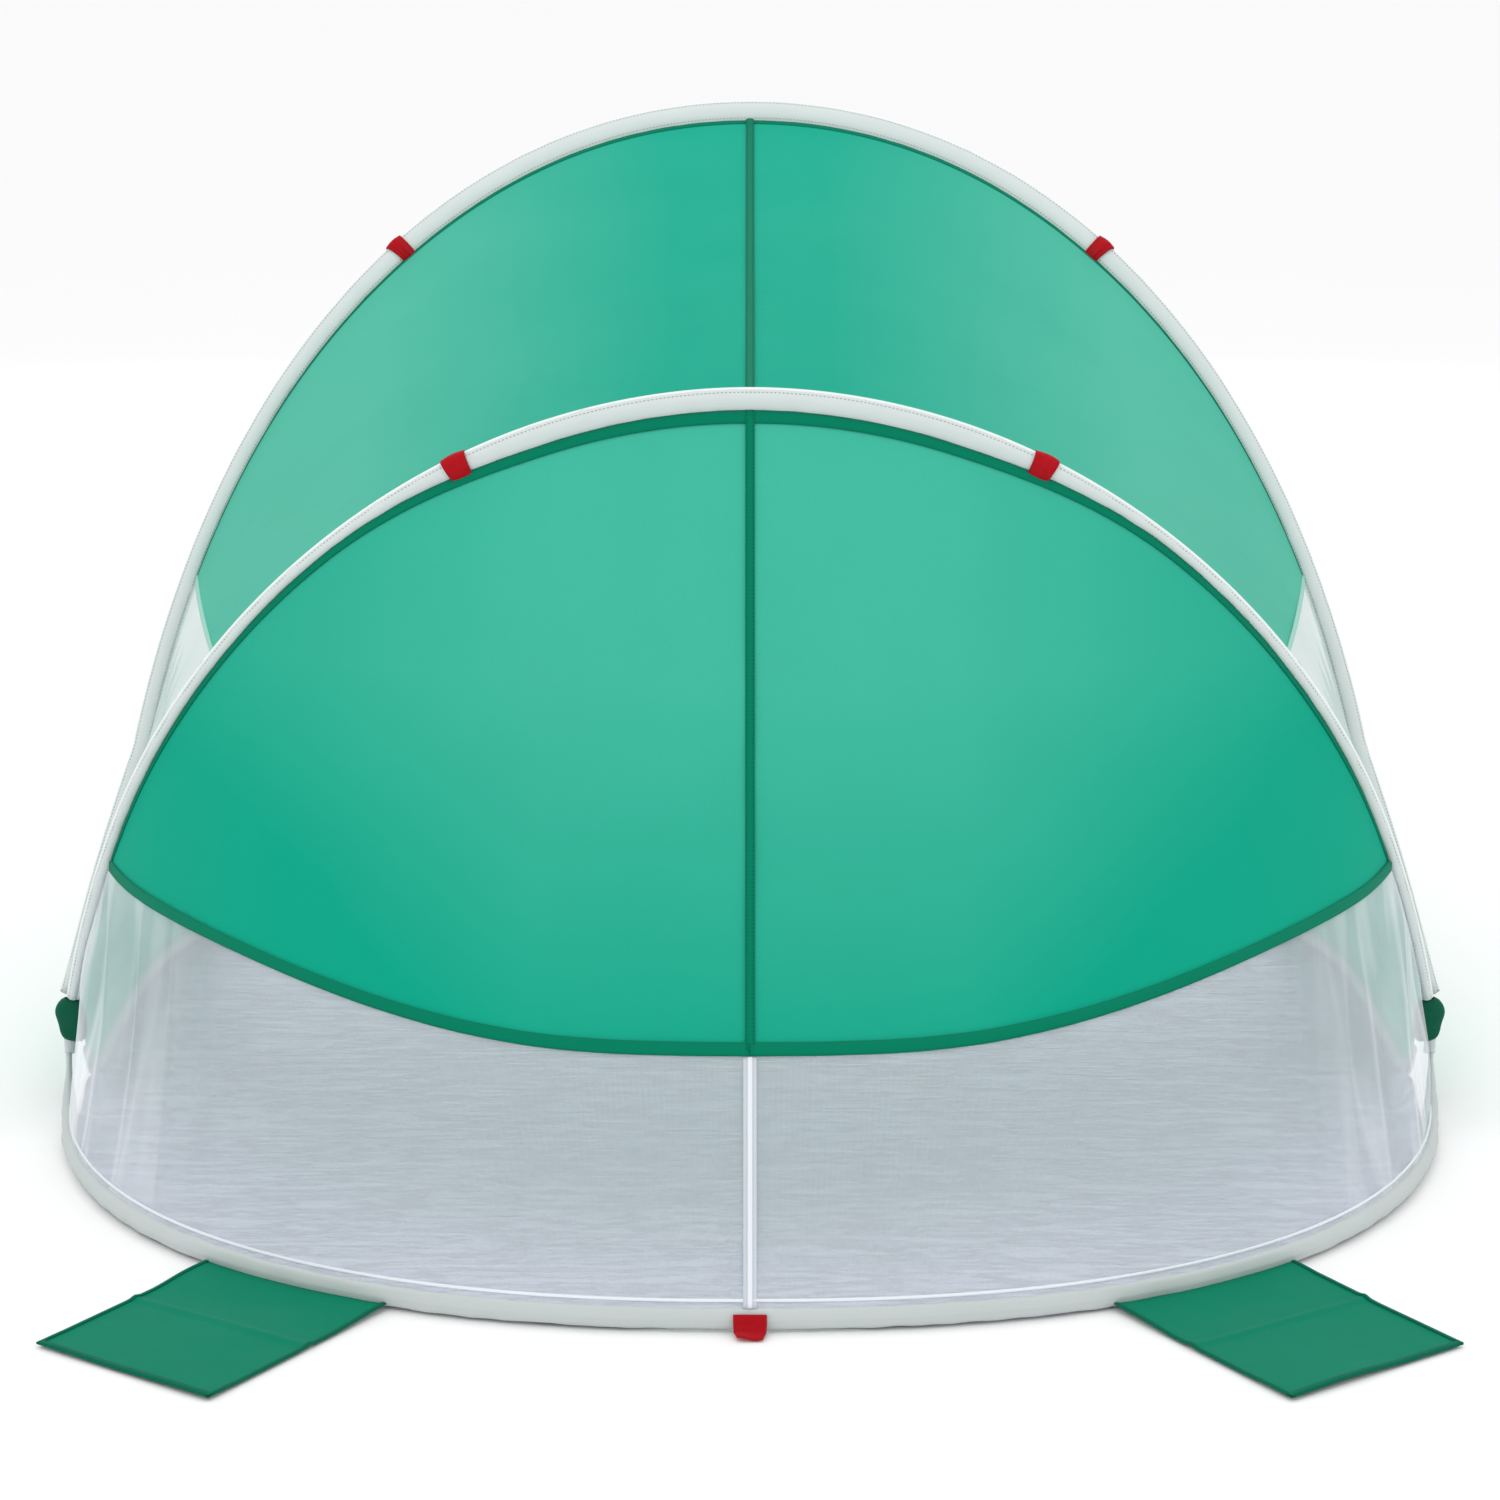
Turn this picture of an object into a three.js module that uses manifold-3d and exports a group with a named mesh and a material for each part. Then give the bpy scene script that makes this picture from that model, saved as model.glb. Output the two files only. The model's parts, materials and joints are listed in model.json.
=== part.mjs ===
// Pop-up hoop shelter: two sprung steel hoops that cross at the sides, with fabric sewn between
// their four half rings. Millimetres, +Z up, +X across, the open front faces +Y and the net
// window and its sand flaps face -Y. The origin is on the ground, midway between the crossings.
//
// Every half ring is a page that turns about one axis through both crossings: the rear ground
// ring stays down, the mid arch, the front arch and the front ground ring close onto it.

import * as THREE from 'three';
import Module from 'manifold-3d';
import { mergeVertices } from 'three/addons/utils/BufferGeometryUtils.js';

// ---------------------------------------------------------------- driving dimensions

const HALF_SPAN = 700; // from the middle to a crossing
const HINGE_Z = 92; // height of the fold axis, where the hoops cross
const FOOT_RADIUS = 28; // the half rings stop this far from the fold axis
const CLEARANCE = 4; // cloth edge to sleeve
const SEAM_GAP = 0.4; // between two sewn pieces

const WIRE_RADIUS = 1.6;
const FERRULE_FIT = 0.35; // between a ferrule and the wire inside it
const FERRULE_WALL = 0.5;
const FERRULE_RADIUS = WIRE_RADIUS + FERRULE_FIT + FERRULE_WALL;
const FERRULE_LENGTH = 36;
const BORE_FIT = 0.35; // between a ferrule and the sleeve round it
const BORE_RADIUS = FERRULE_RADIUS + BORE_FIT;

// How far each ring's superellipse stays inside the crossings, and how far the arches start below.
const INSET = { mid: 9.5, front: 29, rear: 4, fore: 10 };
const DROP = { mid: 38, front: 42 };

// Mid arch: leans back a little, from a line across the shelter under the crossings.
const MID = {
  halfWidth: HALF_SPAN - INSET.mid,
  rise: 695,
  n: 1.967,
  m: 1.85,
  lean: -5.87,
  baseY: 0,
  baseZ: HINGE_Z - DROP.mid,
};
// Legs: a flare outwards (how much, below this length, to this power) and a sweep backwards
// (how much at the foot, below this length, the foot's own length).
const MID_LEGS = { flare: [17.6, 250, 2], sweep: [0, 300, 66], slope: 1 };
// Front arch: leans forward, and its legs sweep back and out to the crossings.
const FRONT = {
  halfWidth: HALF_SPAN - INSET.front,
  rise: 1082,
  n: 2.047,
  m: 2.29,
  lean: 33,
  baseY: 40,
  baseZ: HINGE_Z - DROP.front,
};
const FRONT_LEGS = { flare: [47, 320, 1], sweep: [64, 300, 83], slope: 0.79 };
// Ground rings: the rear one is rounder, the front one squarer.
const REAR_RING = {
  halfWidth: HALF_SPAN - INSET.rear,
  depth: 600,
  n: 2.3,
  m: 2.16,
  side: -1,
  flare: 9.5,
};
const FRONT_RING = {
  halfWidth: HALF_SPAN - INSET.fore,
  depth: 665,
  n: 5.5,
  m: 5.5,
  side: 1,
  flare: 0,
};
const RING_Z = 11; // middle of a ground ring above the ground
const RING_FOOT_Y = 11; // a ground ring starts this far from the crossing
const RING_LIFT_LENGTH = 90; // a ground ring climbs to its crossing over this length

// Sleeves: flat bands, narrow at the feet. Widths are in the ring's own plane.
const ARCH_SLEEVE = { foot: 9, full: 24, from: 100, over: 200, thick: 12 };
const FRONT_SLEEVE = { foot: 8, full: 20, from: 100, over: 200, thick: 12 };
const GROUND_SLEEVE = { foot: 10, full: 10, from: 0, over: 1, thick: 20 };

const CLOTH = 2; // thickness of every cloth solid
const SEAM_WIDTH = 9;
const TAPE_WIDTH = 13;
const HEM_WIDTH = 12;
const HEM_Z = 212; // the rear hem at the middle
const HEM_RISE = 46; // and how much higher it is at the sides
const HEM_FROM = 100; // it starts to rise this far from the middle
const HEM_OVER = 500; // and rises over this width
const HEM_POWER = 1.3;
const HEM_GAP_SHARE = 0.0012; // of the wall's height, between the hem and its neighbours
const HEM_END_TOP = 0.03; // the hem ends where its top is this share of the way down
const HEM_END_FOOT = 0.05; // and the net takes over where its foot is this far down
const NET_TOP_SHARE = 0.02; // of the wall's height, bare between the mid sleeve and the net
const WALL_END = 118; // the rear net stops this far up the mid arch
const ROOF_SAG = 12;
const ROOF_END_MID = 424; // the coloured roof stops at these lengths up the two arches
const ROOF_END_FRONT = 516;
const SIDE_END_MID = 120; // and the white side nets at these
const SIDE_END_FRONT = 150;
const SIDE_GAP_ANGLE = 0.004; // radians of the arches between the roof and a side net

const FLOOR_CREASE_Y = 10; // the floor folds here
const FLOOR_CORNER_Y = 24; // the floor's side edges start this far from the crossings
const FLOOR_CORNER_X = 4; // and are this much wider at the crease
const STRAP_HEIGHT = 44;
const STRAP_DEPTH = 18;
const STRAP_WIDTH = 26;
const STRAP_WALL = 2;
const GUARD_RADIUS = 6;
const GUARD_OVER = 3; // a guard reaches this far above the end of the ring that it covers
const GUARD_UNDER = 13; // and this far below it

const TAB_WALL = 1.2;
const TAB_FIT = 1.5;
const MID_TAB_X = 285;
const MID_TAB_LENGTH = 26;
const FRONT_TAB_X = 391;
const FRONT_TAB_LENGTH = 19;
const PEG_TAB_WIDTH = 30;
const PEG_TAB_TAPER = 24;
const PEG_TAB_REACH = 24;
const PEG_TAB_RISE = 12;
const PEG_TAB_FIT = 0.5; // between the tab and the sleeve's face

const FLAP_WIDTH = 202;
const FLAP_LENGTH = 216.54;
const FLAP_HEADING = 55.6; // degrees behind the X axis
const FLAP_SHIFT = 59; // sideways from that heading
const FLAP_GAP = 3.5; // hinge line to sleeve
const FLAP_THICK = 3;
const BINDING = 8;

const GUSSET_NEAR = 66; // the side gusset's bottom edge starts this far from the crossing
const GUSSET_SHORT = 80; // and ends this far short of the front
const GUSSET_LOW = 100; // and its back edge follows the front leg between these lengths
const GUSSET_HIGH = 300;
const GUSSET_PEAK = 0.4; // share of its length at which it is highest
const GUSSET_TIP = 10; // height of its front edge

const STATIONS = 36; // sections along an arch
const SECTION_SIDES = 8;
const WIRE_SIDES = 6;
const FLOOR_STEPS = 24; // points round each half of the floor
const REACH_STEPS = 400; // places tried for a ring's furthest reach
const HALVINGS = 50; // of the range, when a value is solved for
const SMALL_ANGLE = 1e-3; // radians, between the two points that give a direction
const WELD = 1e-4; // points nearer than this are one

// ---------------------------------------------------------------- materials

const wasm = await Module();
wasm.setup();

const MATERIALS = {
  green: { color: 0x3eb49c, roughness: 0.75, metalness: 0 },
  darkGreen: { color: 0x03694f, roughness: 0.8, metalness: 0 },
  white: { color: 0xd3d9da, roughness: 0.8, metalness: 0 },
  net: { color: 0xe2e6ea, roughness: 0.9, metalness: 0 },
  floor: { color: 0xb9c0c6, roughness: 0.6, metalness: 0 },
  red: { color: 0xc0202c, roughness: 0.7, metalness: 0 },
  steel: { color: 0x9a9ca0, roughness: 0.35, metalness: 1 },
  clear: { color: 0xc8d2cf, roughness: 0.3, metalness: 0 },
};

// ---------------------------------------------------------------- small helpers

const rad = THREE.MathUtils.degToRad;
const lerp = THREE.MathUtils.lerp;
const vec = (x, y, z) => new THREE.Vector3(x, y, z);
const smooth = (t) => THREE.MathUtils.smoothstep(t, 0, 1);
const power = (base, exponent) => Math.sign(base) * Math.abs(base) ** exponent;

/** The value of t between low and high at which the rising function f reaches target. */
function solve(f, target, low, high) {
  let [a, b] = [low, high];
  for (let i = 0; i < HALVINGS; i += 1) {
    const middle = (a + b) / 2;
    if (f(middle) < target) a = middle;
    else b = middle;
  }
  return (a + b) / 2;
}

/** A closed geometry from points and triangles, with its faces pointing out. */
function closedGeometry(points, triangles) {
  let volume = 0;
  for (const [a, b, c] of triangles) {
    volume += points[a].dot(vec(0, 0, 0).crossVectors(points[b], points[c]));
  }
  const wound = volume < 0 ? triangles.map(([a, b, c]) => [a, c, b]) : triangles;
  const geometry = new THREE.BufferGeometry().setFromPoints(points);
  geometry.setIndex(wound.flat());
  const flat = geometry.toNonIndexed();
  flat.computeVertexNormals();
  return flat;
}

/** Two triangles between the corners of a four-sided face. */
const quad = (a, b, c, d) => [[a, b, c], [a, c, d]];

/** A tube with walls: each station has one outer and one inner loop with as many points. */
function hollowTube(stations) {
  const sides = stations[0].outer.length;
  const points = stations.flatMap(({ outer, inner }) => [...outer, ...inner]);
  const at = (i, k, inside) => i * 2 * sides + (inside ? sides : 0) + (k % sides);
  const triangles = [];
  const last = stations.length - 1;
  for (let k = 0; k < sides; k += 1) {
    for (let i = 0; i < last; i += 1) {
      triangles.push(...quad(at(i, k), at(i, k + 1), at(i + 1, k + 1), at(i + 1, k)));
      triangles.push(...quad(at(i, k, 1), at(i + 1, k, 1), at(i + 1, k + 1, 1), at(i, k + 1, 1)));
    }
    triangles.push(...quad(at(0, k), at(0, k, 1), at(0, k + 1, 1), at(0, k + 1)));
    triangles.push(...quad(at(last, k), at(last, k + 1), at(last, k + 1, 1), at(last, k, 1)));
  }
  return closedGeometry(points, triangles);
}

/** A sheet of cloth: surface(u, v) with u and v from 0 to 1, thickened evenly to both sides. */
function sheet(surface, uSteps, vSteps, thick = CLOTH) {
  const points = [];
  const step = SMALL_ANGLE;
  for (const side of [-1, 1]) {
    for (let i = 0; i <= uSteps; i += 1) {
      for (let j = 0; j <= vSteps; j += 1) {
        const [u, v] = [i / uSteps, j / vSteps];
        const along = surface(Math.min(1, u + step), v).sub(surface(Math.max(0, u - step), v));
        const across = surface(u, Math.min(1, v + step)).sub(surface(u, Math.max(0, v - step)));
        const normal = along.cross(across).normalize();
        points.push(surface(u, v).addScaledVector(normal, (side * thick) / 2));
      }
    }
  }
  const half = (uSteps + 1) * (vSteps + 1);
  const at = (i, j, top) => (top ? half : 0) + i * (vSteps + 1) + j;
  const triangles = [];
  for (let i = 0; i < uSteps; i += 1) {
    for (let j = 0; j < vSteps; j += 1) {
      triangles.push(...quad(at(i, j, 1), at(i + 1, j, 1), at(i + 1, j + 1, 1), at(i, j + 1, 1)));
      triangles.push(...quad(at(i, j), at(i, j + 1), at(i + 1, j + 1), at(i + 1, j)));
    }
  }
  for (let i = 0; i < uSteps; i += 1) {
    triangles.push(...quad(at(i, 0), at(i + 1, 0), at(i + 1, 0, 1), at(i, 0, 1)));
    triangles.push(...quad(at(i, vSteps), at(i, vSteps, 1), at(i + 1, vSteps, 1), at(i + 1, vSteps)));
  }
  for (let j = 0; j < vSteps; j += 1) {
    triangles.push(...quad(at(0, j), at(0, j, 1), at(0, j + 1, 1), at(0, j + 1)));
    triangles.push(...quad(at(uSteps, j), at(uSteps, j + 1), at(uSteps, j + 1, 1), at(uSteps, j, 1)));
  }
  return closedGeometry(points, triangles);
}

/** A flat plate: a closed outline in plan, from z = low up by thick. */
function plate(outline, low, thick) {
  const shape = new THREE.Shape(outline.map(([x, y]) => new THREE.Vector2(x, y)));
  const geometry = new THREE.ExtrudeGeometry(shape, { depth: thick, bevelEnabled: false });
  return geometry.translate(0, 0, low);
}

/** The manifold solid of a closed three.js geometry. */
function solidOf(geometry) {
  const bare = geometry.clone();
  bare.deleteAttribute('normal');
  if (bare.getAttribute('uv')) bare.deleteAttribute('uv');
  const merged = mergeVertices(bare, WELD);
  return new wasm.Manifold(new wasm.Mesh({
    numProp: 3,
    vertProperties: new Float32Array(merged.getAttribute('position').array),
    triVerts: new Uint32Array(merged.getIndex().array),
  }));
}

/** A three.js geometry from a manifold solid. */
function geometryOf(solid) {
  const mesh = solid.getMesh();
  const geometry = new THREE.BufferGeometry();
  geometry.setAttribute('position', new THREE.BufferAttribute(mesh.vertProperties, 3));
  geometry.setIndex(new THREE.BufferAttribute(mesh.triVerts, 1));
  const flat = geometry.toNonIndexed();
  flat.computeVertexNormals();
  return flat;
}

/** The same shape on the other side of the shelter. */
function mirrored(geometry) {
  const other = geometry.clone();
  const position = other.getAttribute('position');
  for (let i = 0; i < position.count; i += 3) {
    const [a, b, c] = [0, 1, 2].map((k) => vec().fromBufferAttribute(position, i + k));
    [a, c, b].forEach((p, k) => position.setXYZ(i + k, -p.x, p.y, p.z));
  }
  other.computeVertexNormals();
  return other;
}

// ---------------------------------------------------------------- the four half rings

/** An arch: a superellipse in a leaning plane. Angle 0 is the +X foot and pi the -X foot. */
class Arch {
  constructor(size, legs) {
    this.size = size;
    this.legs = legs;
    this.lean = rad(size.lean);
    const climb = (angle) => this.height(angle);
    this.start = solve(climb, HINGE_Z + FOOT_RADIUS * legs.slope, 0, Math.PI / 2);
  }

  /** Length up the arch's own plane at an angle. */
  climb(angle) {
    return this.size.rise * Math.sin(angle) ** (2 / this.size.m);
  }

  angleAtClimb(length) {
    return solve((angle) => this.climb(angle), length, 0, Math.PI / 2);
  }

  height(angle) {
    return this.size.baseZ + this.climb(angle) * Math.cos(this.lean);
  }

  at(angle) {
    const s = this.climb(angle);
    const { flare: [most, height, order], sweep: [back, from, foot] } = this.legs;
    const flare = most * Math.max(0, 1 - s / height) ** order;
    const sweep = back * (Math.max(0, from - s) / (from - foot)) ** 2;
    const across = power(Math.cos(angle), 2 / this.size.n);
    return vec(
      across * this.size.halfWidth + Math.sign(across) * flare,
      this.size.baseY + s * Math.sin(this.lean) - sweep,
      this.size.baseZ + s * Math.cos(this.lean),
    );
  }

  /** The plane's normal, towards the front. */
  normal() {
    return vec(0, Math.cos(this.lean), -Math.sin(this.lean));
  }
}

/** Height of a ground ring's middle, this far from the line between the crossings. */
function ringHeight(out) {
  const near = Math.max(0, 1 - out / RING_LIFT_LENGTH);
  return RING_Z + (HINGE_Z - FOOT_RADIUS - RING_Z) * near ** 3;
}

/** A ground ring: half a superellipse on the ground, whose ends climb to the crossings. */
class GroundRing {
  constructor(size) {
    this.size = size;
    this.start = solve((angle) => Math.abs(this.at(angle).y), RING_FOOT_Y, 0, Math.PI / 4);
  }

  at(angle) {
    const { halfWidth, depth, n, m, side, flare } = this.size;
    const [c, s] = [Math.cos(angle), Math.sin(angle)];
    const sum = (reach) => (reach * Math.abs(c)) ** n + (reach * s) ** m;
    const reach = solve(sum, 1, 0.5, 2);
    const out = depth * s * reach;
    const spread = flare * Math.max(0, 1 - out / RING_LIFT_LENGTH);
    return vec(c * reach * halfWidth + Math.sign(c) * spread, side * out, ringHeight(out));
  }

  /** Distance of the ring from the X axis, at a place across the shelter. */
  depthAt(x) {
    const { halfWidth, depth, n, m } = this.size;
    return depth * Math.max(0, 1 - Math.abs(x / halfWidth) ** n) ** (1 / m);
  }

  /** Distance of the ring from the Y axis, at a place along the shelter. */
  acrossAt(y) {
    const { halfWidth, depth, n, m } = this.size;
    return halfWidth * Math.max(0, 1 - Math.abs(y / depth) ** m) ** (1 / n);
  }

  normal() {
    return vec(0, 0, 1);
  }
}

/** One ring as a three.js curve, so that its stations are evenly spaced along it. */
class RingCurve extends THREE.Curve {
  constructor(ring) {
    super();
    this.ring = ring;
    this.arcLengthDivisions = 1500;
  }

  getPoint(t, target = vec()) {
    const angle = lerp(this.ring.start, Math.PI - this.ring.start, t);
    return target.copy(this.ring.at(angle));
  }
}

const midArch = new Arch(MID, MID_LEGS);
const frontArch = new Arch(FRONT, FRONT_LEGS);
const rearRing = new GroundRing(REAR_RING);
const frontRing = new GroundRing(FRONT_RING);

/** Place, direction and the two section axes at a share of a ring's length. */
function stationOf(curve, share) {
  const centre = curve.getPointAt(share);
  const along = curve.getTangentAt(share);
  const outward = vec().crossVectors(curve.ring.normal(), along).normalize();
  const across = vec().crossVectors(along, outward).normalize();
  return { centre, along, outward, across };
}

/** The band's width at a distance from the fold axis. */
function bandWidth(sleeve, centre) {
  const away = Math.hypot(centre.y, centre.z - HINGE_Z);
  return lerp(sleeve.foot, sleeve.full, smooth((away - sleeve.from) / sleeve.over));
}

/** A loop of points round a station: an ellipse of the given full width and thickness. */
function loop({ centre, outward, across }, width, thick) {
  return Array.from({ length: SECTION_SIDES }, (_, k) => {
    const turn = (2 * Math.PI * k) / SECTION_SIDES;
    return centre.clone()
      .addScaledVector(outward, (Math.cos(turn) * width) / 2)
      .addScaledVector(across, (Math.sin(turn) * thick) / 2);
  });
}

/** The sewn sleeve round one half hoop, open at both ends for the wire. */
function sleeveGeometry(curve, sleeve) {
  const stations = Array.from({ length: STATIONS + 1 }, (_, i) => {
    const station = stationOf(curve, i / STATIONS);
    return {
      outer: loop(station, bandWidth(sleeve, station.centre), sleeve.thick),
      inner: loop(station, 2 * BORE_RADIUS, 2 * BORE_RADIUS),
    };
  });
  return hollowTube(stations);
}

/** A round bar along a curve. */
function bar(curve, radius, steps, sides) {
  const section = new THREE.Shape(Array.from({ length: sides }, (_, k) => {
    const turn = (2 * Math.PI * k) / sides;
    return new THREE.Vector2(radius * Math.cos(turn), radius * Math.sin(turn));
  }));
  return new THREE.ExtrudeGeometry(section, { extrudePath: curve, steps });
}

const CURVES = {
  mid: new RingCurve(midArch),
  front: new RingCurve(frontArch),
  rear: new RingCurve(rearRing),
  fore: new RingCurve(frontRing),
};

/** The crimped ferrule that closes a hoop, at the middle of its ground run. */
function ferruleGeometry(curve) {
  const share = FERRULE_LENGTH / curve.getLength() / 2;
  const stations = [0.5 - share, 0.5 + share].map((at) => {
    const station = stationOf(curve, at);
    const inside = 2 * (WIRE_RADIUS + FERRULE_FIT);
    return {
      outer: loop(station, 2 * FERRULE_RADIUS, 2 * FERRULE_RADIUS),
      inner: loop(station, inside, inside),
    };
  });
  return hollowTube(stations);
}

// ---------------------------------------------------------------- cloth edges

/** A point on the inner edge of an arch's sleeve, where cloth is sewn on. */
function innerEdge(arch, sleeve, angle, lift = 0) {
  const centre = arch.at(angle);
  const along = arch.at(angle + SMALL_ANGLE).sub(arch.at(angle - SMALL_ANGLE)).normalize();
  const outward = vec().crossVectors(arch.normal(), along).normalize();
  const inset = bandWidth(sleeve, centre) / 2 + CLEARANCE;
  return centre.addScaledVector(outward, -inset).addScaledVector(arch.normal(), lift);
}

/** The angle on an arch's inner edge that lies this far across the shelter. */
function angleAcross(arch, sleeve, x) {
  return solve((angle) => -innerEdge(arch, sleeve, angle).x, -x, arch.start, Math.PI / 2);
}

const hemZ = (x) => HEM_Z + HEM_RISE * smooth((Math.abs(x) - HEM_FROM) / HEM_OVER) ** HEM_POWER;

/** The rear wall: from the mid arch's inner edge down to the top of the rear ground sleeve. */
function rearWall(angle, share) {
  const top = innerEdge(midArch, ARCH_SLEEVE, angle);
  const foot = RING_Z + GROUND_SLEEVE.thick / 2 + CLEARANCE;
  const bottom = vec(top.x, -rearRing.depthAt(top.x), foot);
  return top.lerp(bottom, share);
}

/** Share of the way down the rear wall at which it reaches a height. */
function shareAtHeight(angle, z) {
  const [top, bottom] = [rearWall(angle, 0), rearWall(angle, 1)];
  return (top.z - z) / (top.z - bottom.z);
}

/** Share of the way down at which the hem starts (edge 0) or ends (edge 1). */
function hemShare(angle, edge) {
  const x = rearWall(angle, 0).x;
  const length = rearWall(angle, 0).distanceTo(rearWall(angle, 1));
  const shift = (edge - 1) * HEM_WIDTH;
  return shareAtHeight(angle, hemZ(x)) + shift / length;
}

const rearSeamAngle = angleAcross(midArch, ARCH_SLEEVE, SEAM_WIDTH / 2 + SEAM_GAP);
const rearTapeAngle = angleAcross(midArch, ARCH_SLEEVE, TAPE_WIDTH / 2 + SEAM_GAP);
const wallEndAngle = midArch.angleAtClimb(WALL_END);
const hemTopEnd = solve((angle) => hemShare(angle, 0), HEM_END_TOP, wallEndAngle, Math.PI / 2);
const hemFootEnd = solve((angle) => hemShare(angle, 1), HEM_END_FOOT, wallEndAngle, Math.PI / 2);

function rearPanel() {
  return sheet((u, v) => {
    const angle = lerp(rearSeamAngle, hemTopEnd, u);
    return rearWall(angle, lerp(0, hemShare(angle, 0) - HEM_GAP_SHARE, v));
  }, 14, 6);
}

function rearHem() {
  return sheet((u, v) => {
    const angle = lerp(rearSeamAngle, hemTopEnd, u);
    return rearWall(angle, lerp(hemShare(angle, 0) + HEM_GAP_SHARE, hemShare(angle, 1), v));
  }, 14, 1, CLOTH + 1);
}

/** The net below the hem, and beyond the hem's end the net up to the arch. */
function rearNet() {
  return sheet((u, v) => {
    const angle = lerp(rearTapeAngle, wallEndAngle, u);
    const below = hemShare(Math.max(angle, hemFootEnd), 1) + 2 * HEM_GAP_SHARE;
    const beyond = smooth((angle - wallEndAngle) / (hemFootEnd - wallEndAngle));
    const top = lerp(NET_TOP_SHARE, Math.max(NET_TOP_SHARE, below), beyond);
    return rearWall(angle, lerp(top, 1, v));
  }, 18, 5);
}

/** A strip down the middle of the rear wall. */
function rearStrip(width, from, to, thick) {
  return sheet((u, v) => {
    const point = rearWall(Math.PI / 2, lerp(from, to, v));
    return point.setX(lerp(-width / 2, width / 2, u));
  }, 1, 4, thick);
}

// ---------------------------------------------------------------- roof

const roofEnd = {
  mid: midArch.angleAtClimb(ROOF_END_MID),
  front: frontArch.angleAtClimb(ROOF_END_FRONT),
};
const sideEnd = {
  mid: midArch.angleAtClimb(SIDE_END_MID),
  front: frontArch.angleAtClimb(SIDE_END_FRONT),
};

/** The cloth between the arches, from the mid arch (share 0) to the front arch (share 1). */
function roofSurface(midAngle, frontAngle, share) {
  const back = innerEdge(midArch, ARCH_SLEEVE, midAngle, ARCH_SLEEVE.thick / 2 + CLEARANCE);
  const inset = bandWidth(ARCH_SLEEVE, back) / 2;
  const out = back.clone().setY(0).sub(vec(0, 0, HINGE_Z)).normalize();
  const ahead = innerEdge(frontArch, FRONT_SLEEVE, frontAngle);
  const sag = ROOF_SAG * 4 * share * (1 - share);
  return back.addScaledVector(out, inset * (1 - share)).lerp(ahead, share)
    .addScaledVector(out, -sag);
}

function roofPanel() {
  const seam = SEAM_WIDTH / 2 + SEAM_GAP;
  const from = {
    mid: angleAcross(midArch, ARCH_SLEEVE, seam),
    front: angleAcross(frontArch, FRONT_SLEEVE, seam),
  };
  return sheet((u, v) => roofSurface(
    lerp(from.mid, roofEnd.mid, u),
    lerp(from.front, roofEnd.front, u),
    v,
  ), 12, 5);
}

function roofSeam() {
  return sheet((u, v) => roofSurface(Math.PI / 2, Math.PI / 2, v)
    .setX(lerp(-SEAM_WIDTH / 2, SEAM_WIDTH / 2, u)), 1, 5, CLOTH + 1);
}

function sideNet() {
  return sheet((u, v) => roofSurface(
    lerp(roofEnd.mid - SIDE_GAP_ANGLE, sideEnd.mid, u),
    lerp(roofEnd.front - SIDE_GAP_ANGLE, sideEnd.front, u),
    v,
  ), 6, 3);
}

// ---------------------------------------------------------------- floor

/** Half of the floor: the area inside a ground ring, from the crease out. */
function floorHalf(ring, crease) {
  const inset = GROUND_SLEEVE.full / 2 + CLEARANCE;
  const edge = [];
  for (let i = 0; i <= FLOOR_STEPS; i += 1) {
    const angle = lerp(ring.start, Math.PI - ring.start, i / FLOOR_STEPS);
    const point = ring.at(angle);
    const along = ring.at(angle + SMALL_ANGLE).sub(ring.at(angle - SMALL_ANGLE));
    const outward = vec().crossVectors(along, ring.normal()).normalize();
    point.addScaledVector(outward, outward.dot(point) > 0 ? -inset : inset);
    if (Math.abs(point.y) > FLOOR_CORNER_Y) edge.push([point.x, point.y]);
  }
  const corner = edge[0][0] + FLOOR_CORNER_X;
  return plate([[corner, crease], ...edge, [-corner, crease]], 0, CLOTH);
}

// ---------------------------------------------------------------- crossings and tabs

/** The webbing wrap at a crossing: a flat loop, open above and below for the hoops. */
function strapGeometry() {
  const [inside, outside] = [HALF_SPAN - STRAP_WIDTH / 2, HALF_SPAN + STRAP_WIDTH / 2];
  const half = STRAP_DEPTH / 2;
  const outer = plate([[inside, -half], [outside, -half], [outside, half], [inside, half]],
    HINGE_Z - STRAP_HEIGHT / 2, STRAP_HEIGHT);
  const hollow = plate([
    [inside + STRAP_WALL, STRAP_WALL - half],
    [outside - STRAP_WALL, STRAP_WALL - half],
    [outside - STRAP_WALL, half - STRAP_WALL],
    [inside + STRAP_WALL, half - STRAP_WALL],
  ], HINGE_Z - STRAP_HEIGHT, 2 * STRAP_HEIGHT);
  return geometryOf(solidOf(outer).subtract(solidOf(hollow)));
}

/** The clear tube that guards the hoop just below a crossing. */
function guardGeometry() {
  const { x } = rearRing.at(rearRing.start);
  const ring = (z) => ({
    centre: vec(x, 0, z),
    outward: vec(1, 0, 0),
    across: vec(0, 1, 0),
  });
  const end = HINGE_Z - FOOT_RADIUS;
  return hollowTube([end - GUARD_UNDER, end + GUARD_OVER].map((z) => ({
    outer: loop(ring(z), 2 * GUARD_RADIUS, 2 * GUARD_RADIUS),
    inner: loop(ring(z), 2 * BORE_RADIUS, 2 * BORE_RADIUS),
  })));
}

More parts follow.
